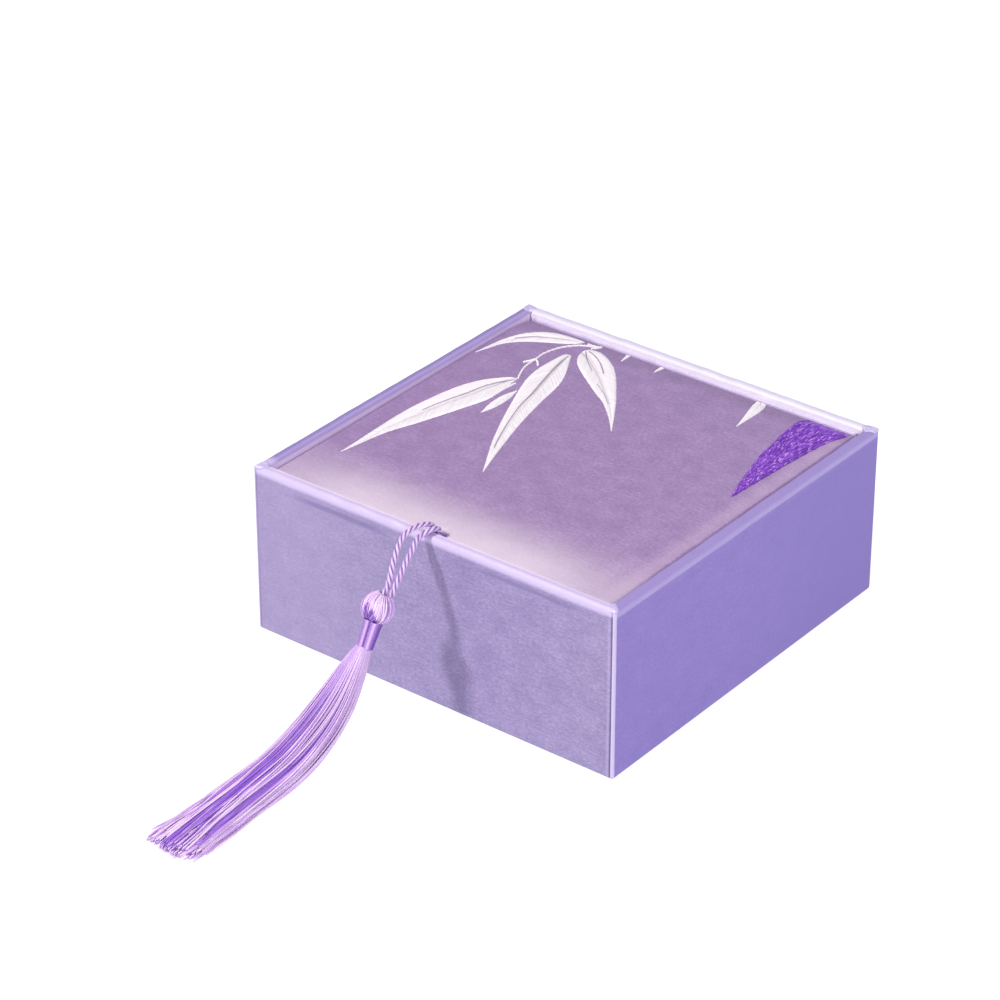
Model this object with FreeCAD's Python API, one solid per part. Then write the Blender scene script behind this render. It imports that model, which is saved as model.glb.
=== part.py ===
import FreeCAD, Part
import math
import os

from FreeCAD import Vector, Placement, Rotation

# Square keepsake box of wrapped board: a tray of four cloth-covered walls, an
# inset padded lid on a cloth hinge at the back, a tassel on a twisted cord at
# the front, and a padded bangle insert inside.
# Millimetres. +Z up, the front is -Y, the origin is under the middle of the box.

# ---- driving dimensions ----------------------------------------------------
width = 100.0            # outside, along X
depth = 100.0            # outside, along Y
height = 42.4            # to the top of the rim
cloth = 0.25             # satin with its glue
board = 2.0              # wall, base and lid board
bottom_sheet = 0.3       # sheet under the base
rim_out_r = 1.3          # soft outer edge of the rim
rim_in_r = 0.7           # inner edge of the rim
rim_end_r = 1.6          # ends of the front and back boards, at the rim's corners
turn_in_z = 30.0         # wall cloth is turned in and ends at this height

liner_board = 1.5        # inner wall boards, whose top edge carries the lid
liner_top = 36.45        # ledge height, cloth included
liner_back_board = 1.25  # thinner by the hinge strip behind it

lid_half_x = 46.9
lid_front_y = -46.9
lid_back_y = 46.7
lid_bottom = 36.5
lid_lining_t = 0.3
lid_top = 40.6           # satin, at the lid's edge before padding swells it
lid_edge_r = 1.25
slot_x = (-2.5, 1.7)     # slot in the lid's front edge for the cord
slot_back_y = -44.8

hinge_y, hinge_z = 47.1, 40.5
hinge_fold_r = 0.4       # outside of the cloth fold
hinge_strip_half = 44.0
hinge_wall_leaf_z = 30.5
hinge_lid_leaf_z = 37.2

insert_half = 45.3
insert_top = 24.5
well_r = 38.0
core_r = 23.0
core_top = 16.5
insert_edge_r = 2.5

stitch_t = 0.2           # raised thickness of the embroidery thread
cord_d = 1.4
cord_left = [(-1.15, -45.85, 38.0), (-1.15, -45.85, 40.6), (-1.15, -46.35, 42.5), (-1.1, -47.7, 44.0), (-1.4, -50.2, 44.95), (-2.1, -53.2, 45.05), (-2.3, -56.1, 44.15),
             (-1.5, -58.8, 42.5), (-0.9, -60.9, 40.6), (-0.3, -62.6, 38.2), (-0.21, -63.66, 35.69), (-0.91, -65.22, 33.74), (-1.61, -66.78, 31.78)]
cord_right = [(0.35, -45.85, 38.0), (0.35, -45.85, 40.6), (0.4, -46.35, 42.35), (0.4, -47.6, 43.55), (-0.1, -49.8, 43.65), (-0.65, -51.6, 43.25), (-0.5, -53.4, 42.9), (0.1, -55.2, 42.2),
              (0.5, -57.0, 41.1), (0.75, -59.0, 39.8), (1.25, -61.1, 38.4), (1.35, -62.6, 36.9), (1.04, -63.54, 34.88), (0.39, -64.98, 33.08), (-0.31, -66.54, 31.12)]
bead_at = (-0.8, -66.3, 31.9)
bead_dir = (-0.063, -0.496, -0.866)   # from the bead down the neck
bead_hole_dir = (0.27, 0.60, 0.753)   # from the bead up to the cords
bead_r = 3.8
bead_core_r = 3.2
bead_hole_r = 1.85
neck_r = 2.2
neck_from, neck_to = 3.6, 9.5         # along bead_dir from the bead's middle
# the skirt's middle line, with half its width and half its thickness
skirt = [(-1.4, -71.06, 23.6, 2.3, 2.3), (-1.8, -74.3, 19.3, 3.7, 3.6), (-2.25, -80.2, 13.4, 5.3, 4.9), (-2.65, -87.8, 8.7, 6.2, 5.4),
         (-3.2, -97.45, 5.7, 6.7, 4.7), (-4.1, -112.5, 3.9, 7.0, 3.6), (-5.2, -128.6, 2.3, 7.0, 2.1)]

# embroidered leaves on the lid, as outlines seen from above
white_leaves = {
    "a": [(-40.66, -30.97), (-41.34, -7.84), (-39.72, 6.22), (-36.92, 14.6), (-32.71, 19.76), (-30.53, 19.6), (-29.82, 9.68), (-32.21, 0.52), (-35.78, -10.68), (-38.53, -18.76)],
    "b": [(-27.19, 2.64), (-28.22, 7.28), (-28.24, 12.14), (-27.18, 16.04), (-26.2, 11.76), (-26.2, 6.76)],
    "c": [(-9.96, -18.45), (-18.01, -3.88), (-24.95, 11.67), (-29.3, 24.07), (-29.4, 35.89), (-28.14, 37.0), (-27.6, 37.0), (-21.83, 25.79), (-19.25, 13.69), (-16.16, 1.11)],
    "d": [(1.46, 13.92), (-3.19, 19.12), (-8.12, 23.62), (-11.93, 26.07), (-18.53, 30.68), (-22.92, 34.05), (-25.51, 37.03), (-26.58, 40.22), (-26.38, 41.89), (-24.79, 42.87), (-21.84, 42.41), (-17.43, 39.59), (-13.58, 35.79), (-8.59, 29.29), (-3.73, 22.27)],
    "e": [(-46.2, 25.6), (-46.0, 30.0), (-45.2, 34.6), (-43.3, 39.5), (-40.1, 42.9), (-35.7, 44.7), (-31.7, 44.9), (-29.3, 44.7), (-30.3, 43.2), (-32.8, 41.2), (-36.9, 38.8), (-40.8, 36.2), (-44.0, 32.7), (-45.6, 28.6)],
    "f": [(22.65, 33.27), (20.2, 45.0), (22.3, 45.2)],
}
violet_leaf = [(39.81, 6.55), (37.07, 15.56), (34.77, 24.03), (33.35, 32.81), (32.41, 40.99), (32.7, 44.9), (35.3, 45.2), (44.6, 45.2), (42.89, 39.16), (41.79, 31.71), (41.08, 23.76), (40.48, 15.77)]
# -----------------------------------------------------------------------------

os.makedirs("parts", exist_ok=True)
hw, hd = width / 2, depth / 2
wall = board + 2 * cloth


def save(name, shape):
    solids = shape.Solids
    if not solids:
        raise RuntimeError(name + " has no solid")
    shape = solids[0] if len(solids) == 1 else Part.makeCompound(solids)
    if not shape.isValid():
        print("INVALID", name)
    shape.exportStep("parts/" + name + ".step")
    print(name, len(solids), "solid(s)", round(shape.Volume, 1), "mm3")


def block(x0, x1, y0, y1, z0, z1):
    return Part.makeBox(x1 - x0, y1 - y0, z1 - z0, Vector(x0, y0, z0))


def spun(shape, degrees):
    s = shape.copy()
    s.rotate(Vector(0, 0, 0), Vector(0, 0, 1), degrees)
    return s


def rimmed(x0, x1, y0, y1, z0, z1, r_out, r_in):
    """A wall along X with its outside at y0, its two top edges rounded."""
    k = math.sqrt(0.5)
    p = lambda y, z: Vector(x0, y, z)
    edges = [
        Part.LineSegment(p(y0, z0), p(y0, z1 - r_out)),
        Part.Arc(p(y0, z1 - r_out), p(y0 + r_out * (1 - k), z1 - r_out * (1 - k)), p(y0 + r_out, z1)),
        Part.LineSegment(p(y0 + r_out, z1), p(y1 - r_in, z1)),
        Part.Arc(p(y1 - r_in, z1), p(y1 - r_in * (1 - k), z1 - r_in * (1 - k)), p(y1, z1 - r_in)),
        Part.LineSegment(p(y1, z1 - r_in), p(y1, z0)),
        Part.LineSegment(p(y1, z0), p(y0, z0)),
    ]
    wire = Part.Wire([e.toShape() for e in edges])
    return Part.Face(wire).extrude(Vector(x1 - x0, 0, 0))


def topped(x0, x1, y0, y1, z0, z1, r):
    """A block with its four top edges rounded."""
    b = block(x0, x1, y0, y1, z0, z1)
    rim = [e for e in b.Edges if abs(e.BoundBox.ZMin - z1) < 1e-6]
    return b.makeFillet(r, rim)


# ---- tray: boards and their cloth -------------------------------------------
z_low, z_board_top = bottom_sheet, height - cloth
long_x = hw - cloth                      # front and back walls run between the side cloths
short_y = hd - wall                      # side walls stand between them


def wall_board(half):
    return rimmed(-half, half, -hd + cloth, -hd + cloth + board, z_low, z_board_top, rim_out_r - cloth, rim_in_r - cloth)


def wall_cloth(half):
    skin = rimmed(-half, half, -hd, -hd + wall, z_low, height, rim_out_r, rim_in_r)
    core = rimmed(-half - 1, half + 1, -hd + cloth, -hd + cloth + board, z_low - 1, z_board_top, rim_out_r - cloth, rim_in_r - cloth)
    below = block(-half - 1, half + 1, -hd + cloth + board - 0.01, -hd + wall + 1, z_low - 1, turn_in_z)
    return skin.cut(core).cut(below)


# the ends of the front and back boards are eased under the rim's corners
eased = block(-long_x, long_x, -hd, -hd + wall, z_low, z_board_top)
eased = eased.makeFillet(rim_end_r, [e for e in eased.Edges if abs(e.BoundBox.ZMin - z_board_top) < 1e-6 and e.BoundBox.XLength < 1e-6])
front_board = wall_board(long_x).common(eased)
side_board = wall_board(short_y)
save("front_wall_board", front_board)
save("back_wall_board", spun(front_board, 180))
save("right_wall_board", spun(side_board, 90))
save("left_wall_board", spun(side_board, -90))

front_cloth = wall_cloth(long_x)
save("front_wall_cloth", front_cloth)
save("back_wall_cloth", spun(front_cloth, 180))
# the side cloths also fold round the ends of the front and back walls
side_cloth = wall_cloth(short_y)
end_left = rimmed(-hw, -hw + cloth, -hd, -hd + wall, z_low, height, rim_out_r, rim_in_r)
end_back = end_left.mirror(Vector(0, 0, 0), Vector(0, 1, 0))
left_cloth = spun(side_cloth, -90).fuse(end_left).fuse(end_back).removeSplitter()
save("left_wall_cloth", left_cloth)
save("right_wall_cloth", left_cloth.mirror(Vector(0, 0, 0), Vector(1, 0, 0)))

base_half = hw - cloth - board - 0.05
base_top = z_low + board
save("base_board", block(-base_half, base_half, -base_half, base_half, z_low, base_top))
save("bottom_cover", block(-hw + 0.8, hw - 0.8, -hd + 0.8, hd - 0.8, 0, bottom_sheet))

# ---- liner boards: their cloth-covered tops are the ledge under the lid -------
in_face = hw - wall                       # 47.5, inside of the wall cloth
l_out = in_face - 0.05
l_in = l_out - liner_board                # board's inner face
l_face = l_in - cloth                     # lining's inner face
l_z0 = base_top + 0.05
l_z1 = liner_top - cloth


def liner_pair(half, y_out, y_in):
    b = block(-half, half, y_out, y_in, l_z0, l_z1)
    c = block(-half, half, y_in, y_in + cloth, l_z0, liner_top).fuse(block(-half, half, y_out, y_in, l_z1, liner_top)).removeSplitter()
    return b, c


b, c = liner_pair(l_out, -l_out, -l_in)
save("front_liner_board", b)
save("front_liner_cloth", c)
back_out = hinge_y + hinge_fold_r - cloth - 0.05
b, c = liner_pair(l_out, -back_out, -back_out + liner_back_board)
save("back_liner_board", spun(b, 180))
save("back_liner_cloth", spun(c, 180))
back_face = back_out - liner_back_board - cloth
side_half = min(l_face, back_face) - 0.05
b, c = liner_pair(side_half, -l_out, -l_in)
save("left_liner_board", spun(b, -90))
save("left_liner_cloth", spun(c, -90))
save("right_liner_board", spun(b, 90))
save("right_liner_cloth", spun(c, 90))

# ---- bangle insert ----------------------------------------------------------
i_z0 = base_top + 0.05
i_z1 = i_z0 + 1.5
ih = insert_half
save("insert_base", block(-ih - 0.2, ih + 0.2, -ih - 0.2, ih + 0.2, i_z0, i_z1))
f_z0 = i_z1 + 0.05


def welled(half, top, hole_r, edge):
    s = topped(-half, half, -half, half, f_z0, top, edge)
    s = s.cut(Part.makeCylinder(hole_r, top, Vector(0, 0, f_z0 - 1)))
    mouth = [e for e in s.Edges if isinstance(e.Curve, Part.Circle) and abs(e.Curve.Radius - hole_r) < 1e-6 and abs(e.BoundBox.ZMin - top) < 1e-6]
    return s.makeFillet(edge, mouth)


foam = welled(ih, insert_top, well_r, insert_edge_r)
save("insert_foam", foam)
save("insert_cover", welled(ih + cloth, insert_top + cloth, well_r - cloth, insert_edge_r + cloth).cut(foam))
save("insert_floor_cloth", Part.makeCylinder(well_r - cloth - 0.1, cloth, Vector(0, 0, f_z0)))
c_z0 = f_z0 + cloth + 0.05


def drum(r, top, edge):
    s = Part.makeCylinder(r, top - c_z0, Vector(0, 0, c_z0))
    return s.makeFillet(edge, [e for e in s.Edges if isinstance(e.Curve, Part.Circle) and abs(e.BoundBox.ZMin - top) < 1e-6])


core = drum(core_r, core_top, insert_edge_r)
save("insert_core", core)
save("insert_core_cover", drum(core_r + cloth, core_top + cloth, insert_edge_r + cloth).cut(core))

# ---- lid --------------------------------------------------------------------
lid_z1 = lid_bottom + lid_lining_t
lx, ly0, ly1 = lid_half_x - 0.3, lid_front_y + 0.3, lid_back_y - 0.3
foam_top = lid_top - cloth
slot = block(slot_x[0], slot_x[1], lid_front_y - 1, slot_back_y, lid_z1 - 0.01, lid_top + 5)
save("lid_lining", block(-lx + 0.1, lx - 0.1, ly0 + 0.3, ly1 - 0.1, lid_bottom, lid_z1))
save("lid_board", block(-lx, lx, ly0, ly1, lid_z1, lid_z1 + board).cut(slot))
inner = topped(-lx, lx, ly0, ly1, lid_z1, foam_top, lid_edge_r - cloth)
save("lid_foam", inner.cut(block(-60, 60, -60, 60, lid_z1 - 1, lid_z1 + board)).cut(slot))
outer = topped(-lid_half_x, lid_half_x, lid_front_y, lid_back_y, lid_z1, lid_top, lid_edge_r)
save("lid_cover", outer.cut(inner).cut(slot))
save("cord_anchor", block(slot_x[0] + 0.2, slot_x[1] - 0.2, lid_front_y + 0.4, slot_back_y - 0.05, lid_z1, 38.0))


def stitched(points):
    wire = Part.makePolygon([Vector(x, y, lid_top) for x, y in points + points[:1]])
    return Part.Face(wire).extrude(Vector(0, 0, stitch_t))


white = [stitched(p) for p in white_leaves.values()]
save("white_leaf_embroidery", white[0].multiFuse(white[1:]))
save("violet_leaf_embroidery", stitched(violet_leaf))

# ---- cloth hinge: one strip, folded round the hinge axis ---------------------
r0, r1 = hinge_fold_r - cloth, hinge_fold_r


def ring(r, x0, x1):
    return Part.makeCylinder(r, x1 - x0, Vector(x0, hinge_y, hinge_z), Vector(1, 0, 0))


hs = hinge_strip_half
fold = ring(r1, -hs, hs).cut(ring(r0, -hs - 1, hs + 1)).cut(block(-hs - 1, hs + 1, hinge_y - 2, hinge_y + 2, hinge_z - 2, hinge_z))
wall_leaf = block(-hs, hs, hinge_y + r0, hinge_y + r1, hinge_wall_leaf_z, hinge_z)
lid_leaf = block(-hs, hs, hinge_y - r1, hinge_y - r0, hinge_lid_leaf_z, hinge_z)
save("hinge_strip", fold.fuse(wall_leaf).fuse(lid_leaf).removeSplitter())


# ---- tassel -----------------------------------------------------------------
def tube(points, d):
    """Straight runs joined by arcs that touch them, swept with a round section."""
    p = [Vector(*q) for q in points]
    edges, at, radii = [], p[0], []
    for i in range(1, len(p) - 1):
        a, b = p[i] - p[i - 1], p[i + 1] - p[i]
        turn = a.getAngle(b)
        run = 0.45 * min(a.Length, b.Length)
        radii.append(run / math.tan(turn / 2))
        a.normalize()
        b.normalize()
        t0, t1 = p[i] - a * run, p[i] + b * run
        mid_dir = (b - a).normalize()
        r = radii[-1]
        centre = p[i] + mid_dir * (r / math.cos(turn / 2))
        mid = centre - mid_dir * r
        edges.append(Part.LineSegment(at, t0).toShape())
        edges.append(Part.Arc(t0, mid, t1).toShape())
        at = t1
    edges.append(Part.LineSegment(at, p[-1]).toShape())
    path = Part.Wire(edges)
    start = (p[1] - p[0]).normalize()
    section = Part.Wire([Part.Circle(p[0], start, d / 2).toShape()])
    body = path.makePipeShell([section], True, False)
    expect = math.pi * d * d / 4 * path.Length
    print("cord length", round(path.Length, 2), "radii", [round(x, 1) for x in radii], "volume share", round(body.Volume / expect, 4))
    return body


save("tassel_cord_left", tube(cord_left, cord_d))
save("tassel_cord_right", tube(cord_right, cord_d))

axis = Vector(*bead_dir).normalize()
at = Vector(*bead_at)


def along(shape, way=axis):
    s = shape.copy()
    s.Placement = Placement(at, Rotation(Vector(0, 0, 1), way)).multiply(s.Placement)
    return s


hole = Part.makeCylinder(bead_hole_r, 20, Vector(0, 0, -10))
hole_way = Vector(*bead_hole_dir).normalize()
save("tassel_bead_core", along(Part.makeSphere(bead_core_r).cut(hole), hole_way))
save("tassel_bead_thread", along(Part.makeSphere(bead_r).cut(Part.makeSphere(bead_core_r)).cut(hole), hole_way))
neck_l = neck_to - neck_from
save("tassel_neck_thread", along(Part.makeCylinder(neck_r, neck_l, Vector(0, 0, neck_from)).cut(Part.makeCylinder(bead_hole_r, neck_l + 2, Vector(0, 0, neck_from - 1)))))

mids = [Vector(*s[:3]) for s in skirt]
wires = []
for i, s in enumerate(skirt):
    d = mids[min(i + 1, len(mids) - 1)] - mids[max(i - 1, 0)]
    if i == 0:
        d = Vector(axis)
    d.normalize()
    across = Vector(0, 0, 1).cross(d).normalize()
    up = d.cross(across).normalize()
    ring_pts = [mids[i] + across * (s[3] * math.cos(t)) + up * (s[4] * math.sin(t)) for t in [2 * math.pi * k / 16 for k in range(16)]]
    wires.append(Part.makePolygon(ring_pts + ring_pts[:1]))
threads = Part.makeLoft(wires, True, True)
stalk = along(Part.makeCylinder(bead_hole_r - 0.1, neck_to + 0.3 - 4.3, Vector(0, 0, 4.3)))
threads = threads.fuse(stalk).removeSplitter()
print("skirt lowest", round(threads.BoundBox.ZMin, 2))
save("tassel_skirt", threads)
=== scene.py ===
import math

import bmesh
import bpy
import numpy as np
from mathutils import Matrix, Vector


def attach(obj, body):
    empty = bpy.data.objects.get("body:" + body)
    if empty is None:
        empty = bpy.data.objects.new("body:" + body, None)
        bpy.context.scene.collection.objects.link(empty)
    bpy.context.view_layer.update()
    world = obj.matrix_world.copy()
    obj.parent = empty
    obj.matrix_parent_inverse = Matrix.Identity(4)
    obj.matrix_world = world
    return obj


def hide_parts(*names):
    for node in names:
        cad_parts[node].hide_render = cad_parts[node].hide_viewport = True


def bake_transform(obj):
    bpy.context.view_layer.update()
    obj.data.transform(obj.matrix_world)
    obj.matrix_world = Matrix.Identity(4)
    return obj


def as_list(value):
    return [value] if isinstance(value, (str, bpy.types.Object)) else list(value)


# Square keepsake box in lavender satin, with a padded, embroidered lid and a
# silk tassel. Lengths in this script are millimetres until a mesh is made.

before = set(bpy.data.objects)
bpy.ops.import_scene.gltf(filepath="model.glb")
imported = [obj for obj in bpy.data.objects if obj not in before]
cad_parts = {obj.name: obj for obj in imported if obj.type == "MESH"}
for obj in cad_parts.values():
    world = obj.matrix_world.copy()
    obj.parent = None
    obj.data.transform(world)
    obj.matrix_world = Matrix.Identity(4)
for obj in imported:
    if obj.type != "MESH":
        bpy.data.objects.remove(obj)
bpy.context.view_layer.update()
scene = bpy.context.scene
MM = 0.001


# ---- camera -----------------------------------------------------------------
def put_camera():
    cam = bpy.data.cameras.new("camera")
    cam.lens, cam.sensor_width = 136.07, 36.0
    cam.clip_start, cam.clip_end = 0.05, 20.0
    ob = bpy.data.objects.new("camera", cam)
    scene.collection.objects.link(ob)
    az, el = math.radians(38.05), math.radians(30.10)
    back = Vector((math.sin(az) * math.cos(el), -math.cos(az) * math.cos(el), math.sin(el)))
    ob.location = Vector((-0.020, 0.0005, 0.02117)) + back * 0.868
    ob.rotation_mode = "QUATERNION"
    ob.rotation_quaternion = (-back).to_track_quat("-Z", "Y")
    scene.camera = ob


put_camera()


# ---- mesh helpers -----------------------------------------------------------
def unit(v):
    return v / np.maximum(np.linalg.norm(v, axis=-1, keepdims=True), 1e-12)


def step(x, a, b):
    """0 before a, 1 after b, smooth between."""
    t = np.clip((np.asarray(x, float) - a) / (b - a), 0, 1)
    return t * t * (3 - 2 * t)


def ripple(seed, wavelength, n=7):
    """A smooth, fixed, random-looking surface of two coordinates, about -1 to 1."""
    r = np.random.default_rng(seed)
    k = 2 * math.pi / wavelength * r.uniform(0.55, 1.5, n)
    a, p = r.uniform(0, 2 * math.pi, n), r.uniform(0, 2 * math.pi, n)

    def f(x, y):
        x, y = np.broadcast_arrays(np.asarray(x, float), np.asarray(y, float))
        return sum(np.sin(k[i] * (x * math.cos(a[i]) + y * math.sin(a[i])) + p[i]) for i in range(n)) / math.sqrt(n)

    return f


class Parts:
    """Several surfaces gathered into one mesh."""

    def __init__(self):
        self.v, self.f, self.u, self.n = [], [], [], 0

    def add(self, verts, faces, uvs):
        self.v.append(np.asarray(verts, float).reshape(-1, 3))
        self.f += [[int(i) + self.n for i in face] for face in faces]
        self.u.append(np.asarray(uvs, float).reshape(-1, 2))
        self.n += len(self.v[-1])
        return self

    def all(self):
        return np.concatenate(self.v), self.f, np.concatenate(self.u)


def grid(points, uv, wrap_u=False, wrap_v=False):
    """Quads over a grid of points (nu, nv, 3); uv has one row or column more where the grid closes on itself."""
    nu, nv = points.shape[:2]
    idx = np.arange(nu * nv).reshape(nu, nv)
    i, j = np.arange(nu if wrap_u else nu - 1), np.arange(nv if wrap_v else nv - 1)
    i2, j2 = (i + 1) % nu, (j + 1) % nv
    faces = np.stack([idx[i][:, j], idx[i2][:, j], idx[i2][:, j2], idx[i][:, j2]], -1).reshape(-1, 4)
    loops = np.stack([uv[i][:, j], uv[i + 1][:, j], uv[i + 1][:, j + 1], uv[i][:, j + 1]], 2).reshape(-1, 2)
    return points.reshape(-1, 3), faces.tolist(), loops


def tubes(paths, radius, sides=6, flat=1.0, out=None):
    """Closed tubes along lines (P, n, 3). flat squeezes the section against its first normal; out gives that normal, where u is 0."""
    p = np.asarray(paths, float)
    if p.ndim == 2:
        p = p[None]
    count, n, _ = p.shape
    t = unit(np.gradient(p, axis=1))
    ref = np.where(np.abs(t[:, 0, 2:3]) < 0.9, np.array([[0, 0, 1.0]]), np.array([[1.0, 0, 0]]))
    normal = np.empty_like(p)
    normal[:, 0] = unit(np.cross(np.cross(t[:, 0], ref), t[:, 0]))
    for i in range(1, n):
        v = normal[:, i - 1]
        normal[:, i] = unit(v - (v * t[:, i]).sum(1, keepdims=True) * t[:, i])
    if out is not None:
        normal = unit(out - (out * t).sum(2, keepdims=True) * t)
    other = np.cross(t, normal)
    r = np.broadcast_to(np.asarray(radius, float), (count, n))
    a = 2 * math.pi * np.arange(sides) / sides
    ring = p[:, :, None] + r[:, :, None, None] * (
        flat * np.cos(a)[None, None, :, None] * normal[:, :, None] + np.sin(a)[None, None, :, None] * other[:, :, None])
    idx = np.arange(count * n * sides).reshape(count, n, sides)
    j = np.arange(sides)
    j2 = (j + 1) % sides
    quads = np.stack([idx[:, :-1, :], idx[:, :-1, j2], idx[:, 1:, j2], idx[:, 1:, :]], -1).reshape(-1, 4)
    s = np.concatenate([np.zeros((count, 1)), np.cumsum(np.linalg.norm(np.diff(p, axis=1), axis=2), axis=1)], 1)
    u0 = np.broadcast_to((j / sides)[None, None], (count, n - 1, sides))
    u1 = u0 + 1 / sides
    v0 = np.broadcast_to(s[:, :-1, None], u0.shape)
    v1 = np.broadcast_to(s[:, 1:, None], u0.shape)
    loops = np.stack([np.stack([u0, v0], -1), np.stack([u1, v0], -1), np.stack([u1, v1], -1), np.stack([u0, v1], -1)], 3).reshape(-1, 2)
    first, last = idx[:, 0, ::-1].tolist(), idx[:, -1, :].tolist()
    ends = [np.repeat(np.stack([np.full(count, 0.5), s[:, k]], 1), sides, axis=0) for k in (0, -1)]
    return ring.reshape(-1, 3), quads.tolist() + first + last, np.concatenate([loops, *ends])


def piece(name, built, material, body=None, nodes=(), merge=False, outward=False, thick=0.0, inset=-1.0):
    verts, faces, uvs = built
    me = bpy.data.meshes.new(name)
    me.from_pydata((np.asarray(verts, float) * MM).tolist(), [], faces)
    layer = me.uv_layers.new(name="thread")
    layer.uv.foreach_set("vector", np.asarray(uvs, np.float32).ravel())
    if merge or outward:
        bm = bmesh.new()
        bm.from_mesh(me)
        if merge:
            bmesh.ops.remove_doubles(bm, verts=bm.verts, dist=2e-6)
            bmesh.ops.dissolve_degenerate(bm, edges=bm.edges, dist=1e-7)
        if outward:
            bmesh.ops.recalc_face_normals(bm, faces=bm.faces)
        bm.to_mesh(me)
        bm.free()
    me.polygons.foreach_set("use_smooth", [True] * len(me.polygons))
    me.materials.append(material)
    me.update()
    ob = bpy.data.objects.new(name, me)
    scene.collection.objects.link(ob)
    if thick:
        mod = ob.modifiers.new("cloth", "SOLIDIFY")
        mod.thickness, mod.offset = thick * MM, inset
    if body:
        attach(ob, body)
    if nodes:
        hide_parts(*nodes)
    return ob


def turned(points, quarter):
    """Points turned about the box's upright middle line by quarter turns."""
    c, s = [(1, 0), (0, 1), (-1, 0), (0, -1)][quarter % 4]
    x, y = points[..., 0].copy(), points[..., 1].copy()
    out = points.copy()
    out[..., 0], out[..., 1] = c * x - s * y, s * x + c * y
    return out


def arc_length(a, b):
    return np.concatenate([[0], np.cumsum(np.hypot(np.diff(a), np.diff(b)))])


def through(points, n):
    """n points along a smooth line through the given ones."""
    p = np.asarray(points, float)
    p = np.concatenate([[2 * p[0] - p[1]], p, [2 * p[-1] - p[-2]]])
    at = np.linspace(0, len(points) - 1, n)
    k = np.minimum(at.astype(int), len(points) - 2)
    t = (at - k)[:, None]
    a, b, c, d = p[k], p[k + 1], p[k + 2], p[k + 3]
    return 0.5 * (2 * b + (c - a) * t + (2 * a - 5 * b + 4 * c - d) * t ** 2 + (3 * b - a - 3 * c + d) * t ** 3)


def even(line, n):
    """n points evenly along a line."""
    s = np.concatenate([[0], np.cumsum(np.linalg.norm(np.diff(line, axis=0), axis=1))])
    at = np.linspace(0, s[-1], n)
    return np.stack([np.interp(at, s, line[:, k]) for k in range(line.shape[1])], 1)


# ---- materials --------------------------------------------------------------
def srgb(r, g, b):
    return tuple(((c / 255) / 12.92 if c <= 10.3 else ((c / 255 + 0.055) / 1.055) ** 2.4) for c in (r, g, b)) + (1.0,)


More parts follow.
